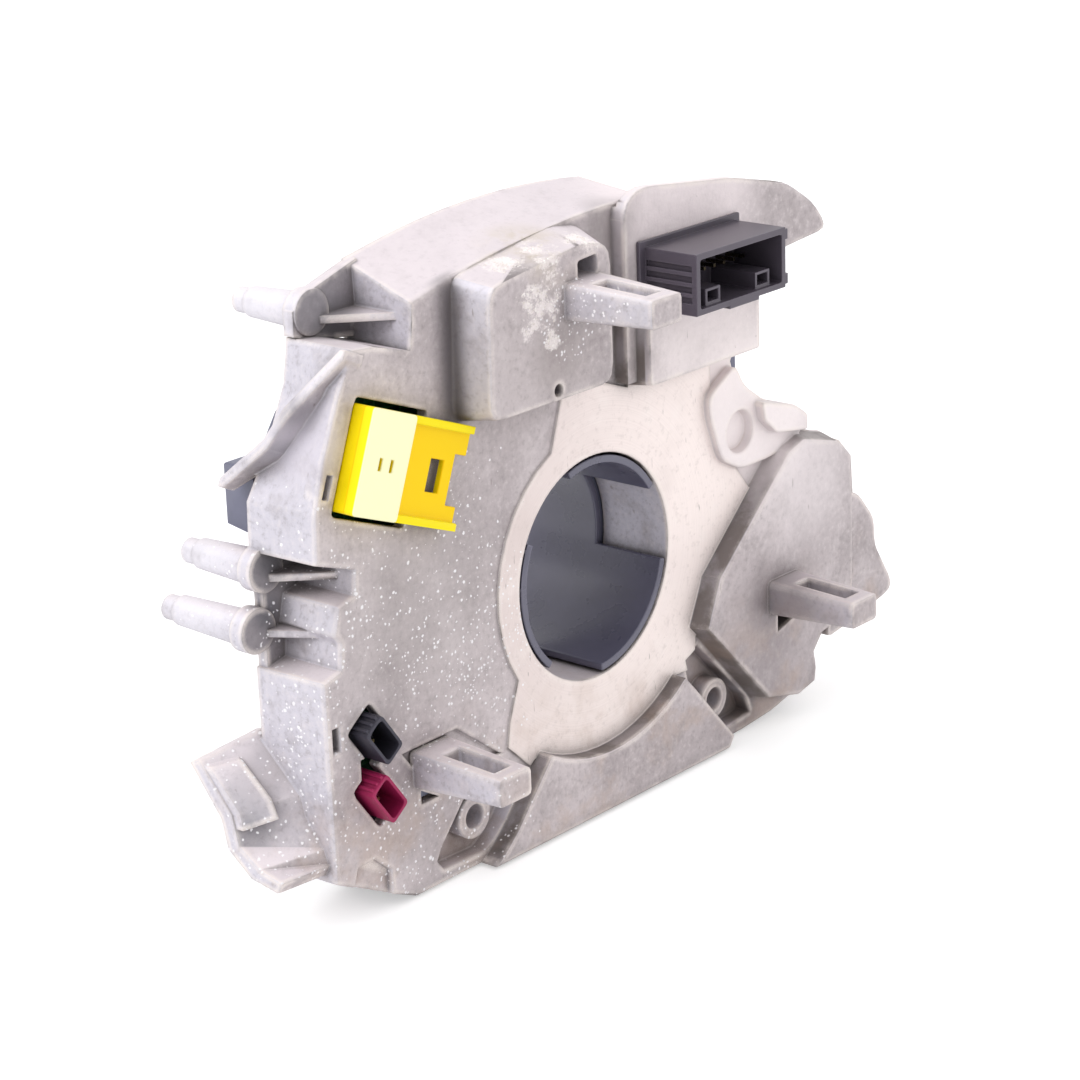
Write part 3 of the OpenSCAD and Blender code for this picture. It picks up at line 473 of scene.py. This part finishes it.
def shifted(tree, place, scale, amount):
    """The place pushed about by noise, so that round shapes turn ragged."""
    wobble = add(tree, "ShaderNodeTexNoise", {"Vector": place, "Scale": scale, "Detail": 2})
    push = add(tree, "ShaderNodeVectorMath", {0: wobble.outputs[1], 1: (0.5, 0.5, 0.5)},
               operation="SUBTRACT")
    push = add(tree, "ShaderNodeVectorMath", {0: push.outputs[0], "Scale": amount},
               operation="SCALE")
    return add(tree, "ShaderNodeVectorMath", {0: place, 1: push.outputs[0]}).outputs[0]


# %% The coat of the casting, which is built up in layers
class Coat:
    """A material under way: its colour so far, and the patterns that its layers share."""

    def __init__(self, name, roughness, metallic):
        self.material, self.tree, self.skin, self.place = new_finish(name, roughness, metallic)
        tree, place = self.tree, self.place
        self.x, self.y, self.z = split(tree, place)[:3]
        self.normal = split(tree, add(tree, "ShaderNodeTexCoord").outputs["Normal"])
        self.top = step(tree, self.normal[2], 0.3, 0.8)
        self.front = step(tree, self.normal[1], -0.45, -0.85)
        self.clouds = noise(tree, place, 24, 5, 0.55)
        self.smudges = noise(tree, place, 105, 5, 0.6, 3.0)
        self.mottle = noise(tree, place, 620, 4, 0.7, 13.0)
        self.grain = noise(tree, place, 1700, 3, 0.6, 7.0)
        self.calm = less(tree, product(tree, self.top, 0.7))
        self.tone = None

    def tint(self, factor, amount, colour):
        """Lays a colour over what is there."""
        self.tone = blend(self.tree, product(self.tree, factor, amount), self.tone, colour)

    def away(self, value, middle, reach):
        """1 at a middle level and 0 beyond its reach, in millimetres."""
        gap = maths(self.tree, "ABSOLUTE", maths(self.tree, "SUBTRACT", value, middle * MM))
        return step(self.tree, gap, reach * MM, 0.0)


# %% The skin as it was cast, with painted light on top and on the left wall and painted shade underneath
def cast_skin(coat):
    tree = coat.tree
    coat.tone = blend(tree, step(tree, coat.clouds, 0.32, 0.68),
                      paint(174, 164, 166), paint(206, 196, 198))
    # Painted light on faces turned up and on the left wall, which is painted cooler; painted shade
    # on faces turned down
    coat.tint(coat.top, 0.78, paint(232, 222, 227))
    coat.tint(step(tree, coat.normal[0], -0.3, -0.8), 0.75, paint(210, 208, 220))
    coat.tint(step(tree, coat.normal[2], -0.55, -0.9), 0.55, paint(140, 132, 136))
    for pattern, low, high, amount, colour in (
            (coat.smudges, 0.5, 0.78, 0.42, paint(228, 219, 220)),
            (coat.smudges, 0.5, 0.26, 0.5, paint(146, 136, 137)),
            (coat.mottle, 0.5, 0.72, 0.3, paint(236, 228, 228)),
            (coat.mottle, 0.5, 0.3, 0.34, paint(130, 121, 122))):
        coat.tint(product(tree, step(tree, pattern, low, high), coat.calm), amount, colour)
    for spot, inner, outer, amount, colour in STAINS_LIGHT_AND_SHADE:
        coat.tint(near(tree, coat.place, spot, inner, outer), amount, colour)


# %% The machined ring round the bore: bright, with turning marks, pits and short nicks
def machined_ring(coat):
    """Paints the ring and returns its mask."""
    tree = coat.tree
    radius = add(tree, "ShaderNodeVectorMath", {0: join(tree, x=coat.x, z=coat.z)},
                 operation="LENGTH").outputs["Value"]
    land = product(tree, coat.front, coat.away(coat.y, LAND_LEVEL, 0.4),
                   step(tree, radius, LAND_REACH + 4 * MM, LAND_REACH))
    turning = add(tree, "ShaderNodeTexNoise", {
        "Vector": join(tree, x=radius), "Scale": 2600, "Detail": 2}).outputs[0]
    # Painted reflection: the ring is painted brighter towards the right
    shine = blend(tree, step(tree, coat.x, -45 * MM, 40 * MM),
                  paint(226, 212, 209), paint(250, 237, 233))
    for pattern, low, high, amount, colour in (
            (coat.z, -12 * MM, -44 * MM, 0.5, paint(250, 238, 233)),
            (coat.clouds, 0.52, 0.3, 0.45, paint(206, 191, 187)),
            (coat.smudges, 0.5, 0.75, 0.4, paint(252, 243, 239)),
            (coat.mottle, 0.48, 0.3, 0.3, paint(196, 182, 178)),
            (turning, 0.42, 0.62, 0.1, paint(190, 176, 172))):
        shine = blend(tree, product(tree, step(tree, pattern, low, high), amount), shine, colour)
    coat.tone = blend(tree, land, coat.tone, shine)
    squeezed = add(tree, "ShaderNodeVectorMath", {0: coat.place, 1: (1.0, 1.0, 0.16)},
                   operation="MULTIPLY").outputs[0]
    nicks = step(tree, noise(tree, squeezed, 900, 2, 0.5, 31.0), 0.27, 0.23)
    pits = step(tree, noise(tree, coat.place, 420, 4, 0.7, 11.0), 0.31, 0.25)
    coat.tint(product(tree, most(tree, [pits, nicks]), coat.calm), 0.5, paint(128, 116, 112))
    # The ring's low rim catches light
    rim = product(tree, coat.away(coat.y, -0.3, 0.6), step(tree, coat.normal[1], -0.9, -0.6),
                  step(tree, radius, 66 * MM, 60 * MM))
    coat.tint(rim, 0.6, paint(236, 223, 219))
    return land


# %% Painted shade on side walls, in pockets and in corners, and brown traces low down
def dirt_and_shade(coat):
    """Paints shade on side walls, in the channel, the crease, pockets and corners, lays brown
    traces low down, and returns the mask of the shaded band beside the left block.
    """
    tree, x, y, z, normal = coat.tree, coat.x, coat.y, coat.z, coat.normal
    # Painted shade on the side walls of the raised pads and of the step, mottled
    unshaded = most(tree, [near(tree, coat.place, *spot) for spot in UNSHADED_SPOTS])
    kept = less(tree, product(tree, unshaded, 0.8))
    shade_mottle = maths(tree, "ADD", 0.72, product(tree, step(tree, coat.smudges, 0.62, 0.4), 0.28))
    ledge = product(tree, step(tree, normal[1], -0.75, -0.45), step(tree, y, -6.6 * MM, -6.2 * MM),
                    step(tree, y, 0.4 * MM, -0.6 * MM), step(tree, x, -46 * MM, -40 * MM),
                    step(tree, maths(tree, "SUBTRACT", z, x), 44 * MM, 36 * MM))
    coat.tint(product(tree, ledge, kept, shade_mottle), 0.9, paint(104, 94, 89))
    # Painted shade on the side walls of the channel, mottled
    shady = maths(tree, "ADD", 0.6, product(tree, step(tree, coat.clouds, 0.68, 0.38), 0.4))
    channel = product(tree, step(tree, normal[0], -0.4, -0.8), coat.away(z, 58, 24),
                      coat.away(x, 9, 9))
    coat.tint(product(tree, channel, shady), 0.9, paint(112, 103, 98))
    # Painted shade: a soft dark band where the left block rises from the face
    crease_shade = product(tree, coat.away(x, -47, 7), step(tree, z, 42 * MM, 50 * MM),
                     step(tree, z, 83 * MM, 76 * MM), step(tree, y, -7.5 * MM, -1 * MM),
                     step(tree, y, 3 * MM, 1 * MM),
                     step(tree, maths(tree, "SUBTRACT", y, product(tree, x, 2.0)),
                          84 * MM, 92 * MM))
    coat.tint(crease_shade, 0.88, paint(96, 90, 93))
    # Brown traces low down
    low = product(tree, step(tree, z, -12 * MM, -48 * MM),
                  step(tree, noise(tree, coat.place, 55, 5, 0.65, 19.0), 0.46, 0.64))
    coat.tint(low, 0.4, paint(186, 162, 146))
    # Painted shade in the pockets behind the pins' webs
    pockets = product(tree, coat.front, step(tree, y, 9 * MM, 14 * MM),
                      step(tree, y, 22 * MM, 18 * MM))
    coat.tint(pockets, 0.6, paint(98, 98, 106))
    # Painted shade in corners, wide and close, with brown dirt as well in the close ones
    wide = step(tree, openness(tree, 5 * MM, 3), 0.85, 0.3)
    tight = step(tree, openness(tree, 1.2 * MM, 2), 0.8, 0.35)
    coat.tint(product(tree, wide, kept), 0.72, paint(80, 74, 75))
    coat.tint(product(tree, tight, kept), 0.45, paint(84, 74, 68))
    return crease_shade


# %% Rubbed edges with a painted highlight, white specks and crust
def rubbed_and_lit_edges(coat, crease_shade):
    """Brightens the edges as rubbed wear with a painted highlight, but for those in the painted
    shade band.
    """
    tree = coat.tree
    edge = openness(tree, 1.5 * MM, 3, inside=True, only_local=True)
    coat.tint(product(tree, step(tree, edge, 0.95, 0.62), step(tree, coat.smudges, 0.3, 0.6),
                      less(tree, crease_shade)), 0.8, paint(248, 238, 232))


def white_specks(coat):
    """Specks, densest on the lower left of the face and the wall, with dust between them."""
    tree, place = coat.tree, coat.place
    zone = product(tree, step(tree, coat.x, -22 * MM, -50 * MM),
                   step(tree, coat.z, 48 * MM, 6 * MM))
    patchy = step(tree, noise(tree, place, 60, 3, 0.5, 23.0), 0.34, 0.62)
    chance = product(tree, zone, maths(tree, "ADD", 0.35, product(tree, patchy, 0.65)))
    dusty = product(tree, near(tree, place, (-44, 0, -6), 8, 34),
                    maths(tree, "ADD", 0.4, product(tree, patchy, 0.6)))
    dense = most(tree, [dusty, near(tree, place, (-19, -14, 66), 4, 17)])
    ragged = shifted(tree, place, 900, 0.7 * MM)
    specks = most(tree, [
        speck_layer(tree, ragged, 230, 0.1, product(tree, chance, 0.3)),
        speck_layer(tree, ragged, 600, 0.25, most(tree, [dense, product(tree, chance, 0.7)])),
        speck_layer(tree, ragged, 1050, 0.4, most(tree, [dense, product(tree, chance, 0.5)]))])
    coat.tint(specks, 0.85, paint(248, 246, 249))
    return specks


def crusted(coat):
    """White crust at the top edge, with a yellowish stain beside it."""
    tree = coat.tree
    likely, cover = crust_chance(tree, coat.place)
    crust = product(tree, step(tree, likely, 0.62, 0.76), step(tree, cover, 0.02, 0.2))
    stain = product(tree, near(tree, coat.place, (-24, -3, 82), 2, 14),
                    step(tree, coat.smudges, 0.36, 0.6))
    coat.tint(stain, 0.55, paint(188, 174, 138))
    coat.tint(crust, 0.85, paint(243, 235, 234))
    return crust


# %% The casting's material from its layers
def cast_finish():
    coat = Coat("cast_metal", 0.5, 0.2)
    tree, skin = coat.tree, coat.skin
    cast_skin(coat)
    land = machined_ring(coat)
    rubbed_and_lit_edges(coat, dirt_and_shade(coat))
    specks = white_specks(coat)
    white = most(tree, [crusted(coat), specks])
    tree.links.new(coat.tone, skin.inputs["Base Color"])
    rough = maths(tree, "ADD", 0.42, product(tree, coat.smudges, 0.22))
    rough = maths(tree, "SUBTRACT", rough, product(tree, land, 0.1))
    rough = maths(tree, "ADD", rough, product(tree, white, 0.3), clamp=True)
    tree.links.new(rough, skin.inputs["Roughness"])
    rise = maths(tree, "ADD", product(tree, coat.grain, 0.35), product(tree, coat.mottle, 0.65))
    rise = product(tree, rise, less(tree, product(tree, land, 0.75)))
    bump(tree, skin, rise, 0.2 * MM, 0.7, soft=1.2 * MM)
    return coat.material


cast_metal = cast_finish()
print("nodes in the cast metal:", len(cast_metal.node_tree.nodes))

# %% [markdown]
# ## The housing
# The raised blocks have generous rounds where the mould needs them, and the thin ribs have small
# ones. The depth of an edge below the rear face tells which form it belongs to.

# %% Housing with rounded blocks
# Levels below the rear face and the radius of the edges there, both in millimetres
OTHER_RADIUS = 0.45
LEVEL_SLACK = 0.2
BLOCK_FRONTS = ((-10.0, 1.5), (-8.0, 1.0), (-6.0, 0.9), (-5.0, 0.7), (-4.0, 0.8), (0.0, 0.8))


def casting_radius(middle):
    """The radius for an edge of the casting, from how far out of the face it lies."""
    for level, radius in BLOCK_FRONTS:
        if abs(middle.y - level * MM) < LEVEL_SLACK * MM:
            return radius * MM
    return OTHER_RADIUS * MM


housing_cast = softened("housing", "housing_cast", cast_metal, 1.5 * MM,
                        casting_radius, 3)

# %% [markdown]
# ## Moulded plastic
# Connector plastic is coloured through, with a fine spark-eroded grain and a soft sheen. One
# recipe makes all of it: a base colour, a little cloudiness, grain, paler rubbed spots and
# edges, painted shade in corners, and for some pieces painted light and shade by level.


# %% Plastic finishes
def plastic(name, colour, roughness, depth=0.5, rub=0.12, lit_fronts=(), gloss=0.5, reach=4 * MM):
    """depth sets how dark the painted shade in corners within reach is; the front levels pair a y
    level with the colour beyond it, a lit or shaded copy for painted light and shade.
    """
    material, tree, skin, place = new_finish(name, roughness, 0.0, colour)
    skin.inputs["Specular IOR Level"].default_value = gloss
    pale = tuple(min(1, c * 1.9 + 0.03) for c in colour[:3]) + (1,)
    dull = tuple(c * 0.86 for c in colour[:3]) + (1,)
    corner_shade = tuple(c * depth for c in colour[:3]) + (1,)
    cloud = noise(tree, place, 90, 4, 0.6, 2.0)
    fine = noise(tree, place, 2600, 2, 0.5, 5.0)
    tone = blend(tree, step(tree, cloud, 0.3, 0.7), dull, colour)
    level = split(tree, place)[1]
    # Painted light and shade by level: beyond each front level the colour becomes a lit or shaded
    # copy
    for front, colour_there in lit_fronts:
        tone = blend(tree, step(tree, level, (front + 0.3) * MM, front * MM), tone, colour_there)
    rubbed = step(tree, noise(tree, place, 300, 5, 0.7, 9.0), 0.6, 0.8)
    tone = blend(tree, product(tree, rubbed, rub), tone, pale)
    edge = openness(tree, 0.4 * MM, 2, inside=True)
    tone = blend(tree, product(tree, step(tree, edge, 0.85, 0.55), rub * 2), tone, pale)
    # Painted shade in corners within reach
    corner = openness(tree, reach, 2)
    tone = blend(tree, product(tree, step(tree, corner, 0.7, 0.15), 0.9), tone, corner_shade)
    tree.links.new(tone, skin.inputs["Base Color"])
    tree.links.new(maths(tree, "ADD", roughness - 0.05, product(tree, cloud, 0.1)),
                   skin.inputs["Roughness"])
    bump(tree, skin, fine, 0.03 * MM, 0.4)
    print("plastic:", name)
    return material


black_plastic = plastic("black_plastic", paint(88, 81, 92), 0.3, depth=0.4, gloss=0.35,
                        reach=14 * MM)
navy_plastic = plastic("navy_plastic", paint(62, 60, 72), 0.42, depth=0.1, gloss=0.35, reach=8 * MM)
# The yellow block gets an orange band of painted shade past -2.9 mm, painted light past -3.2 mm,
# and a front painted nearly white past -5.6 mm
yellow_plastic = plastic("yellow_plastic", paint(255, 226, 0), 0.4, depth=0.6, rub=0.04, gloss=0.15,
                         lit_fronts=((-2.9, paint(255, 206, 2)), (-3.2, paint(255, 234, 24)),
                                 (-5.6, paint(255, 254, 208))))
maroon_plastic = plastic("maroon_plastic", paint(160, 34, 84), 0.42, depth=0.25, rub=0.1, gloss=0.3)
dark_plastic = plastic("dark_plastic", paint(110, 111, 131), 0.42, depth=0.3, gloss=0.4)
rotor_plastic = plastic("rotor_plastic", paint(90, 88, 107), 0.28, depth=0.3, gloss=0.7)
chip_plastic = plastic("chip_plastic", paint(38, 38, 40), 0.5)

# %% [markdown]
# ## Plugs and sockets
# These pieces keep their CAD shape and only lose their knife edges. Thin walls allow thin
# rounds: a fifth of a millimetre is enough to catch the light.

# %% Plugs, sockets and plastic cases
softened("main_plug", "main_plug_shroud", black_plastic, 0.3 * MM)
softened("yellow_socket", "yellow_socket_block", yellow_plastic, 0.3 * MM)
softened("black_socket", "black_socket_shell", navy_plastic, 0.25 * MM)
softened("maroon_socket", "maroon_socket_shell", maroon_plastic, 0.25 * MM)
softened("carrier", "carrier_plate", dark_plastic, 0.5 * MM)
softened("slip_ring_case", "slip_ring_tub", dark_plastic, 0.5 * MM)
softened("case_cover", "slip_ring_cover", dark_plastic, 0.4 * MM)
softened("sensor_fork", "sensor_fork_body", chip_plastic, 0.25 * MM)
softened("board_chips", "board_chip_bodies", chip_plastic, 0.25 * MM)
softened("stalk_contacts", "stalk_contact_blocks", dark_plastic, 0.2 * MM)

# %% [markdown]
# ## The rotor
# The rotor turns with the steering wheel. Its pieces ride on their own body, so every copy of
# them must too, and the helper above sees to that by the node's name.

# %% Rotor pieces
softened("sleeve", "rotor_sleeve", rotor_plastic, 0.4 * MM)
softened("rotor_hub", "rotor_disc", rotor_plastic, 0.5 * MM)
softened("code_ring", "rotor_code_ring", dark_plastic, 0.15 * MM)
softened("front_yellow_plug", "rotor_yellow_plug", yellow_plastic, 0.3 * MM)
softened("front_black_plug", "rotor_black_plug", black_plastic, 0.3 * MM)


# %% [markdown]
# ## Terminals, board and cable
# Terminals are tin-bronze: warm metal with a dull patch here and there. The board is green
# lacquer over copper, and the flat cable is amber film with copper tracks inside.

# %% Terminal, board and film finishes
def brass_finish():
    material, tree, skin, place = new_finish("brass_pins", 0.3, 1.0)
    dull = step(tree, noise(tree, place, 700, 4, 0.6), 0.4, 0.65)
    tone = blend(tree, dull, paint(226, 208, 160), paint(190, 168, 118))
    # Painted shade: the pins turn dark inside the big plug
    height = split(tree, place)[2]
    tone = blend(tree, product(tree, step(tree, height, 55 * MM, 57 * MM), 0.9), tone,
                 paint(58, 52, 48))
    tree.links.new(tone, skin.inputs["Base Color"])
    tree.links.new(maths(tree, "ADD", 0.22, product(tree, dull, 0.2)),
                   skin.inputs["Roughness"])
    return material


def board_finish():
    material, tree, skin, place = new_finish("green_board", 0.35)
    across, _, height = split(tree, place)[:3]
    lanes = add(tree, "ShaderNodeTexBrick", {
        "Vector": join(tree, across, height),
        "Color1": (0, 0, 0, 1), "Color2": (0.2, 0.2, 0.2, 1), "Mortar": (1, 1, 1, 1),
        "Scale": 90, "Mortar Size": 0.03, "Mortar Smooth": 0.2}).outputs[0]
    tone = blend(tree, lanes, paint(24, 92, 56), paint(52, 128, 76))
    tree.links.new(tone, skin.inputs["Base Color"])
    bump(tree, skin, lanes, 0.05 * MM, 0.6)
    return material


def film_finish():
    material, tree, skin, place = new_finish("amber_film", 0.3)
    depth = split(tree, place)[1]
    tracks = add(tree, "ShaderNodeTexWave", {"Vector": join(tree, y=depth), "Scale": 160},
                 bands_direction="Y").outputs["Fac"]
    tone = blend(tree, step(tree, tracks, 0.4, 0.6), paint(206, 150, 70), paint(196, 120, 84))
    tree.links.new(tone, skin.inputs["Base Color"])
    return material


def wear(material, *nodes):
    """Gives CAD nodes, whose shape is right as it is, a better finish."""
    for node in nodes:
        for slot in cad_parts[node].material_slots:
            slot.material = material
    print(material.name, "on", ", ".join(nodes))


brass_pins = brass_finish()
wear(brass_pins, "main_plug_pins", "yellow_socket_pins", "small_socket_pins", "front_plug_pins")
wear(board_finish(), "circuit_board")
wear(film_finish(), "flat_cable")

# %% [markdown]
# ## Screws
# Three sets of pan-head screws hold the board, the carrier and the cable case. They repeat, so
# Geometry Nodes make them: one screw is built from a cone, a cylinder and a cross-shaped cut, and
# put on a point at each place where the CAD has one, each turned by its own random angle.


# %% Where the CAD's screws are
def islands(node):
    """The separate solids of a node, each as a lowest and a highest corner."""
    form = bmesh.new()
    form.from_mesh(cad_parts[node].data)
    bmesh.ops.remove_doubles(form, verts=form.verts, dist=WELD)
    todo, found = set(form.verts), []
    while todo:
        start = todo.pop()
        group, waiting = {start}, [start]
        while waiting:
            for edge in waiting.pop().link_edges:
                for corner in edge.verts:
                    if corner not in group:
                        group.add(corner)
                        waiting.append(corner)
        todo -= group
        corners = [v.co.copy() for v in group]
        found.append((Vector([min(c[i] for c in corners) for i in range(3)]),
                      Vector([max(c[i] for c in corners) for i in range(3)])))
    form.free()
    return sorted(found, key=lambda box: tuple(round(v, 6) for v in box[0]))


# %% Helpers for Geometry Nodes
def new_group(name, *lengths):
    """A node group with named inputs: the geometry, some numbers and a seed."""
    tree = bpy.data.node_groups.new(name, "GeometryNodeTree")
    face = tree.interface
    face.new_socket("Geometry", in_out="INPUT", socket_type="NodeSocketGeometry")
    for label, value in lengths:
        made = face.new_socket(label, in_out="INPUT", socket_type="NodeSocketFloat")
        made.default_value = value
    face.new_socket("Seed", in_out="INPUT", socket_type="NodeSocketInt").default_value = 1
    face.new_socket("Geometry", in_out="OUTPUT", socket_type="NodeSocketGeometry")
    return tree, add(tree, "NodeGroupInput").outputs


def end_group(tree, instances, material):
    """Makes the instances real, gives them their material and hands them out."""
    solid = add(tree, "GeometryNodeRealizeInstances", {0: instances})
    last = add(tree, "GeometryNodeSetMaterial",
               {"Geometry": solid.outputs[0], "Material": material})
    tree.links.new(last.outputs[0], add(tree, "NodeGroupOutput").inputs[0])


def grown(piece, mesh, group, values):
    """An object that the group makes out of a mesh, as a plain mesh again."""
    made = bpy.data.objects.new(piece, mesh)
    scene.collection.objects.link(made)
    grow = made.modifiers.new("grow", "NODES")
    grow.node_group = group
    socket_of = {item.name: item.identifier for item in group.interface.items_tree
                 if item.in_out == "INPUT"}
    for name, value in values.items():
        grow[socket_of[name]] = value
    finished(made)
    return made


# %% Geometry Nodes: a set of cross-head screws
def screw_tree(material):
    tree, given = new_group(
        "cross_head_screws", ("Head Radius", 3 * MM), ("Head Height", 2 * MM),
        ("Slot Width", 0.8 * MM), ("Shank Radius", 1.5 * MM), ("Shank Length", 10 * MM))
    head = add(tree, "GeometryNodeMeshCone", {
        "Vertices": 32, "Radius Top": product(tree, given["Head Radius"], 0.8),
        "Radius Bottom": given["Head Radius"], "Depth": given["Head Height"]})
    cut = add(tree, "GeometryNodeMeshBoolean", {"Mesh 1": head.outputs["Mesh"]},
              operation="DIFFERENCE")
    arm_size = join(tree, product(tree, given["Head Radius"], 1.1), given["Slot Width"],
                    product(tree, given["Head Height"], 1.3))
    arm = add(tree, "GeometryNodeMeshCube", {"Size": arm_size}).outputs["Mesh"]
    for spin in (0, pi / 2):
        turned = add(tree, "GeometryNodeTransform", {
            "Geometry": arm, "Translation": join(tree, z=given["Head Height"]),
            "Rotation": (0, 0, spin)})
        tree.links.new(turned.outputs[0], cut.inputs["Mesh 2"])
    shank = add(tree, "GeometryNodeMeshCylinder", {
        "Vertices": 20, "Radius": given["Shank Radius"], "Depth": given["Shank Length"]})
    lowered = add(tree, "GeometryNodeTransform", {
        "Geometry": shank.outputs["Mesh"],
        "Translation": join(tree, z=product(tree, given["Shank Length"], -0.5))})
    whole = add(tree, "GeometryNodeJoinGeometry")
    for part in (lowered.outputs[0], cut.outputs["Mesh"]):
        tree.links.new(part, whole.inputs[0])
    placed = add(tree, "GeometryNodeInstanceOnPoints", {
        "Points": given["Geometry"], "Instance": whole.outputs[0], "Rotation": (-pi / 2, 0, 0)})
    chance = add(tree, "FunctionNodeRandomValue", {2: 0.0, 3: pi / 2, "Seed": given["Seed"]},
                 data_type="FLOAT").outputs[1]
    spun = add(tree, "GeometryNodeRotateInstances", {
        "Instances": placed.outputs[0], "Rotation": join(tree, z=chance)})
    end_group(tree, spun.outputs[0], material)
    return tree


def steel_finish():
    material, tree, skin, place = new_finish("steel_screws", 0.35, 1.0)
    dull = step(tree, noise(tree, place, 500, 4, 0.6), 0.38, 0.64)
    tone = blend(tree, dull, paint(205, 205, 210), paint(160, 160, 166))
    tree.links.new(tone, skin.inputs["Base Color"])
    tree.links.new(maths(tree, "ADD", 0.28, product(tree, dull, 0.22)),
                   skin.inputs["Roughness"])
    return material


screw_nodes = screw_tree(steel_finish())
print("nodes in the screw group:", len(screw_nodes.nodes))

# %% Build the three sets
SCREW_SETS = {"carrier_screws": ("carrier_screw_set", 2.2 * MM, 1.5 * MM),
              "board_screws": ("board_screw_set", 1.5 * MM, 1.1 * MM),
              "case_screws": ("case_screw_set", 1.8 * MM, 1.2 * MM)}
for seed, (node, (piece, head_height, shank_radius)) in enumerate(SCREW_SETS.items(), 1):
    found = islands(node)
    low, high = found[0]
    points = [((a.x + b.x) / 2, b.y - head_height, (a.z + b.z) / 2) for a, b in found]
    mesh = bpy.data.meshes.new(piece)
    mesh.from_pydata(points, [], [])
    screws = grown(piece, mesh, screw_nodes, {
        "Head Radius": (high.x - low.x) / 2, "Head Height": head_height,
        "Slot Width": (high.x - low.x) * 0.14, "Shank Radius": shank_radius,
        "Shank Length": high.y - low.y - head_height, "Seed": seed})
    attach(screws, "module")
    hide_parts(node)
    print(piece, len(found), "screws", len(screws.data.polygons), "faces")

# %% [markdown]
# ## White crust
# Corroded light alloy grows a white crust with a little height of its own. Points are spread over
# the faces at the top of the left block, those away from the crusted spots are deleted, and each
# point left gets a flattened grain of random size. Painting alone would leave the crust flat.


# %% Geometry Nodes: crust grains
def crust_tree(material):
    tree, given = new_group(
        "crust_grains", ("Grain Size", 0.3 * MM), ("Density", 4e6), ("Threshold", 0.8))
    points = add(tree, "GeometryNodeDistributePointsOnFaces", {
        "Mesh": given["Geometry"], "Density": given["Density"], "Seed": given["Seed"]}).outputs
    likely, _ = crust_chance(tree, add(tree, "GeometryNodeInputPosition").outputs[0])
    bare = maths(tree, "LESS_THAN", likely, given["Threshold"])
    kept = add(tree, "GeometryNodeDeleteGeometry",
               {"Geometry": points["Points"], "Selection": bare}, domain="POINT")
    chance = add(tree, "FunctionNodeRandomValue", {2: 0.35, 3: 1.0, "Seed": given["Seed"]},
                 data_type="FLOAT").outputs[1]
    size = product(tree, chance, given["Grain Size"])
    grain = add(tree, "GeometryNodeMeshIcoSphere", {"Radius": 1.0, "Subdivisions": 2})
    placed = add(tree, "GeometryNodeInstanceOnPoints", {
        "Points": kept.outputs[0], "Instance": grain.outputs["Mesh"],
        "Rotation": points["Rotation"], "Scale": join(tree, size, size, product(tree, size, 0.6))})
    end_group(tree, placed.outputs[0], material)
    return tree


def crust_finish():
    material, tree, skin, place = new_finish("white_crust", 0.8)
    tone = blend(tree, step(tree, noise(tree, place, 400, 4, 0.6), 0.4, 0.62),
                 paint(222, 213, 208), paint(248, 243, 240))
    tree.links.new(tone, skin.inputs["Base Color"])
    return material


# %% Grow the crust on the casting's top left
CRUST_MIDDLE, CRUST_ROOM = Vector((-26, -8, 74)) * MM, 26 * MM
form = bmesh.new()
form.from_mesh(housing_cast.data)
far = [face for face in form.faces if face.normal.y > 0.2
       or (face.calc_center_median() - CRUST_MIDDLE).length > CRUST_ROOM]
bmesh.ops.delete(form, geom=far, context="FACES")
bmesh.ops.triangulate(form, faces=form.faces)
mesh = bpy.data.meshes.new("crust_grains")
form.to_mesh(mesh)
form.free()
crust_grains = grown("crust_grains", mesh, crust_tree(crust_finish()), {
    "Grain Size": 0.26 * MM, "Density": 3e6, "Threshold": 0.7, "Seed": 4})
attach(crust_grains, "module")
print("crust faces:", len(crust_grains.data.polygons))
